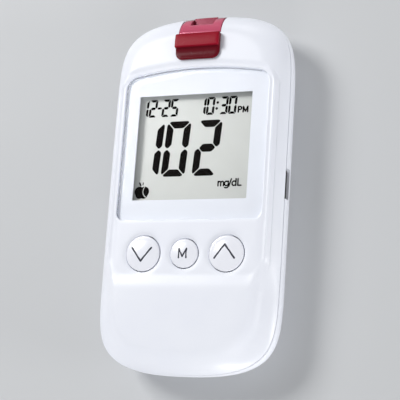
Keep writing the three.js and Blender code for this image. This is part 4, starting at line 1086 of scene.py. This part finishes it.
# strokes through points, in shares of the letters' height
BOWL = (
    (0.6, 0.55), (0.42, 0.68), (0.2, 0.66), (0.03, 0.48), (0.03, 0.2), (0.2, 0.02), (0.42, 0.02),
    (0.6, 0.15),
)
LETTERS = {
    "P": (((0, 0), (0, 1), (0.38, 1), (0.56, 0.9), (0.6, 0.74), (0.55, 0.57), (0.38, 0.47), (0, 0.47)),),
    "M": (((0, 0), (0, 1), (0.43, 0.12), (0.86, 1), (0.86, 0)),),
    "m": (
        ((0, 0), (0, 0.68)), ((0, 0.48), (0.12, 0.64), (0.27, 0.67), (0.4, 0.58), (0.43, 0.42), (0.43, 0)),
        ((0.43, 0.48), (0.55, 0.64), (0.7, 0.67), (0.83, 0.58), (0.86, 0.42), (0.86, 0)),
    ),
    "g": (BOWL, ((0.62, 0.68), (0.62, -0.12), (0.5, -0.28), (0.3, -0.33), (0.08, -0.27))),
    "/": (((0, -0.08), (0.34, 1.02)),),
    "d": (BOWL, ((0.62, 1.02), (0.62, 0))),
    "L": (((0, 1.02), (0, 0.02), (0.5, 0.02)),),
}
AFTERNOON = {"height": 1.45, "stroke": 0.42, "foot": 20.75, "places": (("P", 11.3), ("M", 12.65))}
UNIT = {
    "height": 1.76, "stroke": 0.38, "foot": 0.9,
    "places": (("m", 6.95), ("g", 8.7), ("/", 9.98), ("d", 10.8), ("L", 12.44)),
}


def figure_loops(layout, places):
    """The bars of a row of slanted figures."""
    loops = []
    shapes = segment_shapes(*layout["size"], layout["stroke"], layout["gap"])
    for figure, x in places:
        for bar in SEGMENTS_OF[figure]:
            shape = softened(np.array(shapes[bar], float), layout["stroke"] * CORNER_ROUND_SHARE)
            shape[:, 0] += layout["slant"] * shape[:, 1]
            loops.append(shape + (x, layout["foot"]))
    return loops


def make_marks(name, loops, gaps=()):
    """Dark figures printed on the film, from loops and the gaps between them."""
    plan = Plan(*loops)
    for loop in gaps:
        plan.hole(loop)
    marks = plan.build(name, FILM_TOP + FIGURE_HEIGHT, FILM_TOP + FIGURE_LIFT)
    dress(marks, "housing", figures_dark)


def letter_loops(word):
    """A word's letters as capsules along their strokes."""
    loops = []
    for letter, left in word["places"]:
        for stroke in LETTERS[letter]:
            points = np.array(stroke) * word["height"] + (left, word["foot"])
            loops += [capsule(a, b, word["stroke"]) for a, b in zip(points, points[1:])]
    return loops


MEAL_MIDDLE = np.array((-14.7, -0.37))
MEAL_LOBES = ((0.72, 0.18, 1.4), (0.62, -0.6, 1.16))
MEAL_LEAF = ((-0.42, 1.85), (-0.78, 2.58), 0.42)
MEAL_STALK = ((0.17, 2.05), (0.24, 2.6), 0.28)
MEAL_SLICE = ((0.85, 1.75), (0.45, 0.9), (0.3, 0.2), (0.42, -0.4), (0.9, -1.1), (1.25, -1.35))
SLICE_STROKE = 0.2
LOBE_STEPS = 32


def make_meal_mark():
    """A plain round fruit with a leaf, a stalk and one slice parted off, as a mark for a meal."""
    lobes = [
        circle(MEAL_MIDDLE + (side * x, y), radius, LOBE_STEPS)
        for x, y, radius in MEAL_LOBES for side in (-1, 1)
    ]
    tops = [
        capsule(start + MEAL_MIDDLE, end + MEAL_MIDDLE, stroke)
        for start, end, stroke in (MEAL_LEAF, MEAL_STALK)
    ]
    slit = np.array(MEAL_SLICE) + MEAL_MIDDLE
    gaps = [capsule(a, b, SLICE_STROKE) for a, b in zip(slit, slit[1:])]
    make_marks("lcd_meal_mark", lobes + tops, gaps)


def make_display():
    make_marks("lcd_reading", figure_loops(READING, READING_PLACES))
    make_marks("lcd_date", figure_loops(SMALL, DATE_PLACES) + [capsule(*DASH)])
    colon = [circle(place, COLON_RADIUS, COLON_STEPS) for place in COLON_PLACES]
    make_marks("lcd_time", figure_loops(SMALL, TIME_PLACES) + colon)
    make_marks("lcd_afternoon", letter_loops(AFTERNOON))
    make_marks("lcd_unit", letter_loops(UNIT))
    make_meal_mark()


# Keys
KEY_CROWN_SHARE = 0.76
KEY_EDGE_RISE = 0.2
KEY_SHOULDER = 0.4
KEY_BODY_FOOT = 2.4
KEY_STEPS = 128
KEY_RINGS = (0.996, 0.985, 0.965, 0.94, 0.91, 0.87, 0.82, KEY_CROWN_SHARE)
KEY_INNER_RINGS = (0.65, 0.5, 0.35, 0.2)
STEM_RADIUS = 1.5
FLANGE_GAP = 0.15
FLANGE_THICKNESS = 0.6
CAPSULE_STEPS = 8
MARK_LIFT = 0.02
CHEVRON = {"half": 2.72, "rise": 1.75, "stroke": 0.5}
LETTER = {"half": 1.05, "rise": 1.17, "stroke": 0.42, "dip": 0.75}
MARK_PLACES = {"down": (-0.25, -0.3), "memory": (-0.2, 0.0), "up": (-0.35, 0.5)}


def key_height(name):
    """The height of a key's cap over the plan: a low crown, a soft shoulder and a steep side."""
    middle, radius, crown = key_facts(name)

    def height(points):
        share = away(points, middle) / radius
        crown_fall = (crown - FACE - KEY_SHOULDER) * np.clip(share / KEY_CROWN_SHARE, 0, 1) ** 2
        shoulder = np.clip((share - KEY_CROWN_SHARE) / (1 - KEY_CROWN_SHARE), 0, 1)
        edge = FACE + KEY_SHOULDER - KEY_EDGE_RISE
        return crown - crown_fall - (1 - np.sqrt(1 - shoulder ** 2)) * (edge - FACE)

    return height


def capsule(start, end, stroke):
    """A stroke with round ends between two points."""
    start, end = np.array(start, float), np.array(end, float)
    turn = math.atan2(*(end - start)[::-1])
    quarter = np.pi / 2
    return np.concatenate([
        arc(end, stroke / 2, turn - quarter, turn + quarter, CAPSULE_STEPS),
        arc(start, stroke / 2, turn + quarter, turn + 3 * quarter, CAPSULE_STEPS),
    ])


def mark_strokes(name):
    """The strokes of a key's M or chevron, round its middle."""
    if name == "memory":
        half, rise, stroke = LETTER["half"], LETTER["rise"], LETTER["stroke"]
        points = [(-half, -rise), (-half, rise), (0, -rise * LETTER["dip"]), (half, rise), (half, -rise)]
    else:
        way = 1 if name == "up" else -1
        half, rise, stroke = CHEVRON["half"], CHEVRON["rise"] * way, CHEVRON["stroke"]
        points = [(-half, -rise), (0, rise), (half, -rise)]
    return [(a, b, stroke) for a, b in zip(points, points[1:])]


def make_key(name):
    body = f"{name}_key"
    middle, radius, _ = key_facts(name)
    height = key_height(name)
    plan = Plan(circle(middle, radius, KEY_STEPS))
    plan.edge(*circles(middle, radius * np.array(KEY_RINGS), KEY_STEPS))
    plan.points(*circles(middle, radius * np.array(KEY_INNER_RINGS), LOOSE_STEPS))
    cap = plan.build(f"{name}_key_cap", height, FACE - KEY_BODY_FOOT)
    dress(cap, body, key_white, f"{name}_button")
    dress(make_stem(name, middle, radius), body, key_white)
    place = middle + MARK_PLACES[name]
    loops = [capsule(a + place, b + place, stroke) for a, b, stroke in mark_strokes(name)]
    marks = Plan(*loops)
    marks.grid(GRID["mark"])
    top = lambda points: height(points) + MARK_LIFT
    under = lambda points: height(points) - MARK_LIFT
    dress(marks.build(f"{name}_key_mark", top, under), body, mark_dark)


def make_stem(name, middle, radius, steps=64):
    """The round stem and flange under a key's cap."""
    foot = span(f"{name}_button")[0][2]
    top = ROOF - FLANGE_GAP
    under = top - FLANGE_THICKNESS
    rim = radius + KEY_FLANGE
    profile = ((0, foot), (STEM_RADIUS, foot), (STEM_RADIUS, under), (rim, under), (rim, top), (0, top))
    points = [(*point, z) for size, z in profile for point in circle(middle, size, steps)]
    return new_object(f"{name}_key_stem", points, ring_faces(len(profile), steps))


# Ejector and strip port
SLIDER_CORNER = 2.1
SLIDER_FAR_CORNER = 0.45
NEAR_STEPS, FAR_STEPS = 12, 8
SLIDER_LIFT = 0.65
SLIDER_LEDGE = 38.4
LEDGE_DROP = 0.85
LEDGE_RUN = 0.3
SLIDER_SAG = 0.3
SLIDER_EDGE = 0.45
SLIDER_RINGS = (0.02, 0.06, 0.13, 0.22, 0.33, SLIDER_EDGE)
LEDGE_ROWS = np.linspace(-0.15, 0.45, 9)
LEDGE_MARGIN = 0.7
PLATEAU_FALL = 0.3
STEM = (-1.4, 1.4, 35.3, 37.7)


def slider_loop():
    """The slider's outline, with large corners at its near end and small ones at its far end."""
    quarter = np.pi / 2
    side, south, north = slider_high[0], slider_low[1], slider_high[1]
    near, far = SLIDER_CORNER, SLIDER_FAR_CORNER
    return dense(np.concatenate([
        arc((side - near, south + near), near, -quarter, 0, NEAR_STEPS),
        arc((side - far, north - far), far, 0, quarter, FAR_STEPS),
        arc((far - side, north - far), far, quarter, 2 * quarter, FAR_STEPS),
        arc((near - side, south + near), near, 2 * quarter, 3 * quarter, NEAR_STEPS),
    ]), SPACING["slider"])


def make_slider():
    loop = slider_loop()
    top_level = slider_high[2]
    plan = Plan(loop)
    plan.edge(*offset_loops(loop, -np.array(SLIDER_RINGS), SPACING["slider_rings"]))
    half = slider_high[0] - LEDGE_MARGIN
    plan.points(*(row(-half, half, SLIDER_LEDGE - shift, ROW_POINTS) for shift in LEDGE_ROWS))
    plan.grid(GRID["slider"])

    def height(points):
        y = points[:, 1]
        far = np.clip((y - SLIDER_LEDGE) / (slider_high[1] - SLIDER_LEDGE), 0, 1)
        near = np.clip((SLIDER_LEDGE - y) / (SLIDER_LEDGE - slider_low[1]), 0, 1)
        plateau = top_level - PLATEAU_FALL * far ** 2
        hollow = top_level - LEDGE_DROP - SLIDER_SAG * 4 * near * (1 - near)
        level = hollow + (plateau - hollow) * climb(y, SLIDER_LEDGE - LEDGE_RUN, SLIDER_LEDGE)
        return level - edge_fall(-distance(loop, points), SLIDER_EDGE)

    plan.under(rectangle(*STEM), slider_low[2])
    slider = plan.build("thumb_slider", height, FACE + SLIDER_LIFT)
    dress(slider, "ejector", slider_red, "ejector_slider")


STRIP_HALF = 3.3
STRIP_FLOOR = 11.1
STRIP_TOP = 11.8
NOTCH_SOUTH = 45.2
PORT_FLOOR = 10.6
PORT_PROUD = 0.1
STRIP_MOUTH = (-STRIP_HALF, STRIP_HALF, NOTCH_SOUTH, HALF_LENGTH + BEYOND)
SLOT_OVERLAP = 0.5
COLUMN_END = HALF_LENGTH - 0.5
COLUMN_POINTS = 24


def port_top(points):
    """The port's top, which follows the housing's form, a little proud of it."""
    form = face_form(points, inset_of(points)) + PORT_PROUD
    south = points[:, 1] - port_low[1]
    sides = port_high[0] - np.abs(points[:, 0])
    form -= edge_fall(south) + edge_fall(sides)
    return form - edge_fall(np.abs(distance(rectangle(*STRIP_MOUTH), points)))


def make_port():
    form = outline(foot_inset(PORT_FLOOR))
    side = port_high[0]
    rim = form[(np.abs(form[:, 0]) < side) & (form[:, 1] > 0)]
    rim = rim[np.argsort(-rim[:, 0])]
    plan = Plan(np.concatenate([[(-side, port_low[1]), (side, port_low[1])], rim]))
    for inset in FRONT_RINGS + FACE_RINGS:
        ring = outline(inset)
        plan.points(ring[(np.abs(ring[:, 0]) < side) & (ring[:, 1] > port_low[1])])
    for gap in BACK_EDGE_RINGS:
        column = row(port_low[1], COLUMN_END, side - gap, COLUMN_POINTS)[:, ::-1]
        plan.points(row(-side, side, port_low[1] + gap, ROW_POINTS), column * (-1, 1), column)
    plan.grid(GRID["port"])
    plan.top(rectangle(*STRIP_MOUTH), STRIP_FLOOR)
    port = plan.build("port_frame", port_top, PORT_FLOOR)
    slot = rectangle(port_low[1] - BEYOND, NOTCH_SOUTH + SLOT_OVERLAP, STRIP_FLOOR, STRIP_TOP)
    carve(port, prism("strip_slot", slot, -STRIP_HALF, STRIP_HALF))
    dress(port, "housing", port_red, "strip_port")


SPRING_WIRE = 0.4
SPRING_TURNS = 6
SPRING_STEPS = 28
WIRE_SIDES = 10


def make_spring():
    """The ejector's return spring: a round wire wound in a coil, built at the one length that the CAD node
    gives.
    """
    low, high = span("ejector_spring")
    middle = (low + high) / 2
    radius = (high[0] - low[0] - SPRING_WIRE) / 2
    share = np.linspace(0, 1, SPRING_TURNS * SPRING_STEPS + 1)
    turn = 2 * np.pi * SPRING_TURNS * share
    run = high[1] - low[1] - SPRING_WIRE
    outward = np.column_stack([np.cos(turn), np.zeros(len(turn)), np.sin(turn)])
    core = middle + radius * outward
    core[:, 1] = low[1] + SPRING_WIRE / 2 + run * share
    way = np.gradient(core, axis=0)
    across = np.cross(way / np.linalg.norm(way, axis=1)[:, None], outward)
    points = []
    ring = circle((0, 0), SPRING_WIRE / 2, WIRE_SIDES)
    for place, out, side in zip(core, outward, across):
        points += list(place + ring[:, :1] * out + ring[:, 1:] * side)
    faces = ring_faces(len(core), WIRE_SIDES) + end_faces(len(core), WIRE_SIDES)
    coil = dress(new_object("return_coil", points, faces), "housing", steel, "ejector_spring")
    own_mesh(coil)


# CAD nodes that stay
MERGE_REACH = 1e-6


def smooth_group():
    """Geometry nodes that join facets and shade them smoothly up to an edge angle."""
    group = bpy.data.node_groups.new("smooth_facets", "GeometryNodeTree")
    for way in ("INPUT", "OUTPUT"):
        group.interface.new_socket("Geometry", in_out=way, socket_type="NodeSocketGeometry")
    shape = group.nodes.new("NodeGroupInput").outputs[0]
    merge = {"Geometry": shape}
    shape = add_node(group, "GeometryNodeMergeByDistance", merge, Distance=MERGE_REACH).outputs[0]
    faces = {"Geometry": shape}
    shape = add_node(group, "GeometryNodeSetShadeSmooth", faces, domain="FACE").outputs[0]
    angle = add_node(group, "GeometryNodeInputMeshEdgeAngle").outputs["Unsigned Angle"]
    small = add_node(group, "FunctionNodeCompare", {0: angle}, operation="LESS_THAN")
    small.inputs[1].default_value = math.radians(SHARP)
    edges = {"Geometry": shape, "Shade Smooth": small.outputs["Result"]}
    shape = add_node(group, "GeometryNodeSetShadeSmooth", edges, domain="EDGE").outputs[0]
    group.links.new(shape, group.nodes.new("NodeGroupOutput").inputs["Geometry"])
    return group


def dress_nodes():
    """Gives each CAD node its material, and smooths the facets of those that are rendered."""
    group = smooth_group()
    for subpart in frame["record"]["subparts"]:
        node = frame["nodes"][subpart["node"]]
        node.data.materials.clear()
        made = MATERIAL_OF_NODE.get(subpart["node"], MATERIAL_OF_SLOT[subpart["material_slot"]])
        node.data.materials.append(made)
        if not node.hide_render:
            smooth = node.modifiers.new("smooth", "NODES")
            smooth.node_group = group


# Stage
CAMERA_PLACE = (120.1698, -72.054, 296.795)
CAMERA_TURN = math.radians(22.4986)
CAMERA_TILT = math.radians(-12.6653)
CAMERA_ROLL = math.radians(-4.005)
FOCAL_PIXELS = 1211.6378
PHOTO_PIXELS = 400
SENSOR = 36
CLIP = (0.01, 10)


def make_camera():
    lens = bpy.data.cameras.new("camera")
    lens.sensor_width = SENSOR
    lens.lens = FOCAL_PIXELS / PHOTO_PIXELS * SENSOR
    lens.clip_start, lens.clip_end = CLIP
    camera = add_object("camera", lens)
    roll = Matrix.Rotation(CAMERA_ROLL, 3, "Z")
    tilt = Matrix.Rotation(CAMERA_TILT, 3, "X")
    turn = Matrix.Rotation(-CAMERA_TURN, 3, "Y")
    camera.matrix_world = (roll @ tilt @ turn).transposed().to_4x4()
    camera.location = Vector(CAMERA_PLACE) * MM
    bpy.context.scene.camera = camera


LAMPS = (
    # name, place, size, power
    ("key", (-400, 300, 500), 260, 3.3),
    ("right", (520, -100, 80), 160, 1.2),
    ("front", (60, -560, 90), 160, 1.4),
    ("back", (-80, 560, 220), 160, 0.3),
)
FLOOR_COLOR = (0.56, 0.57, 0.58)
FLOOR_VARIATION = 1.02
FLOOR_REACH = 4
FLOOR_HALF = 1500
FLOOR_LEVEL = -0.1
WORLD_STRENGTH = 0.54
SKY_COLOR = (0.72, 0.73, 0.75)
SKY_HEIGHT = 0.6


def make_lamps():
    for name, place, size, power in LAMPS:
        lamp = bpy.data.lights.new(name, "AREA")
        lamp.energy = power
        lamp.size = size * MM
        holder = add_object(name, lamp)
        holder.location = Vector(place) * MM
        holder.rotation_euler = (-holder.location).to_track_quat("-Z", "Y").to_euler()


def make_world():
    world = bpy.data.worlds.new("studio")
    world.use_nodes = True
    tree = world.node_tree
    light = tree.nodes["Background"]
    light.inputs["Strength"].default_value = WORLD_STRENGTH
    place = add_node(tree, "ShaderNodeTexCoord").outputs["Generated"]
    height = add_node(tree, "ShaderNodeSeparateXYZ", {0: place}).outputs["Z"]
    sky = ramp(tree, height, (1, 1, 1), SKY_COLOR, 0, SKY_HEIGHT)
    tree.links.new(sky, light.inputs["Color"])
    bpy.context.scene.world = world


def make_floor():
    """A pale floor, clear from below and for light that starts right above it, to show the back."""
    sides = ((-1, -1), (1, -1), (1, 1), (-1, 1))
    corners = [(x * FLOOR_HALF, y * FLOOR_HALF, FLOOR_LEVEL) for x, y in sides]
    floor = new_object("floor", corners, [[0, 1, 2, 3]])
    light = tuple(c * FLOOR_VARIATION for c in FLOOR_COLOR)
    made = surface("floor", FLOOR_COLOR, light, (0.7, 0.8), grain=400, patch=8)
    tree = made.node_tree
    length = {0: add_node(tree, "ShaderNodeLightPath").outputs["Ray Length"]}
    near = add_node(tree, "ShaderNodeMath", length, operation="LESS_THAN")
    near.inputs[1].default_value = FLOOR_REACH * MM
    below = add_node(tree, "ShaderNodeNewGeometry").outputs["Backfacing"]
    clear_where(made, (near.outputs["Value"], below))
    floor.data.materials.append(made)


make_front_cover()
make_back_cover()
make_door()
make_window()
make_window_print()
make_display()
for key in KEYS:
    make_key(key)
make_slider()
make_port()
make_spring()
dress_nodes()
make_camera()
make_lamps()
make_world()
make_floor()
bpy.context.scene.view_settings.view_transform = "Standard"
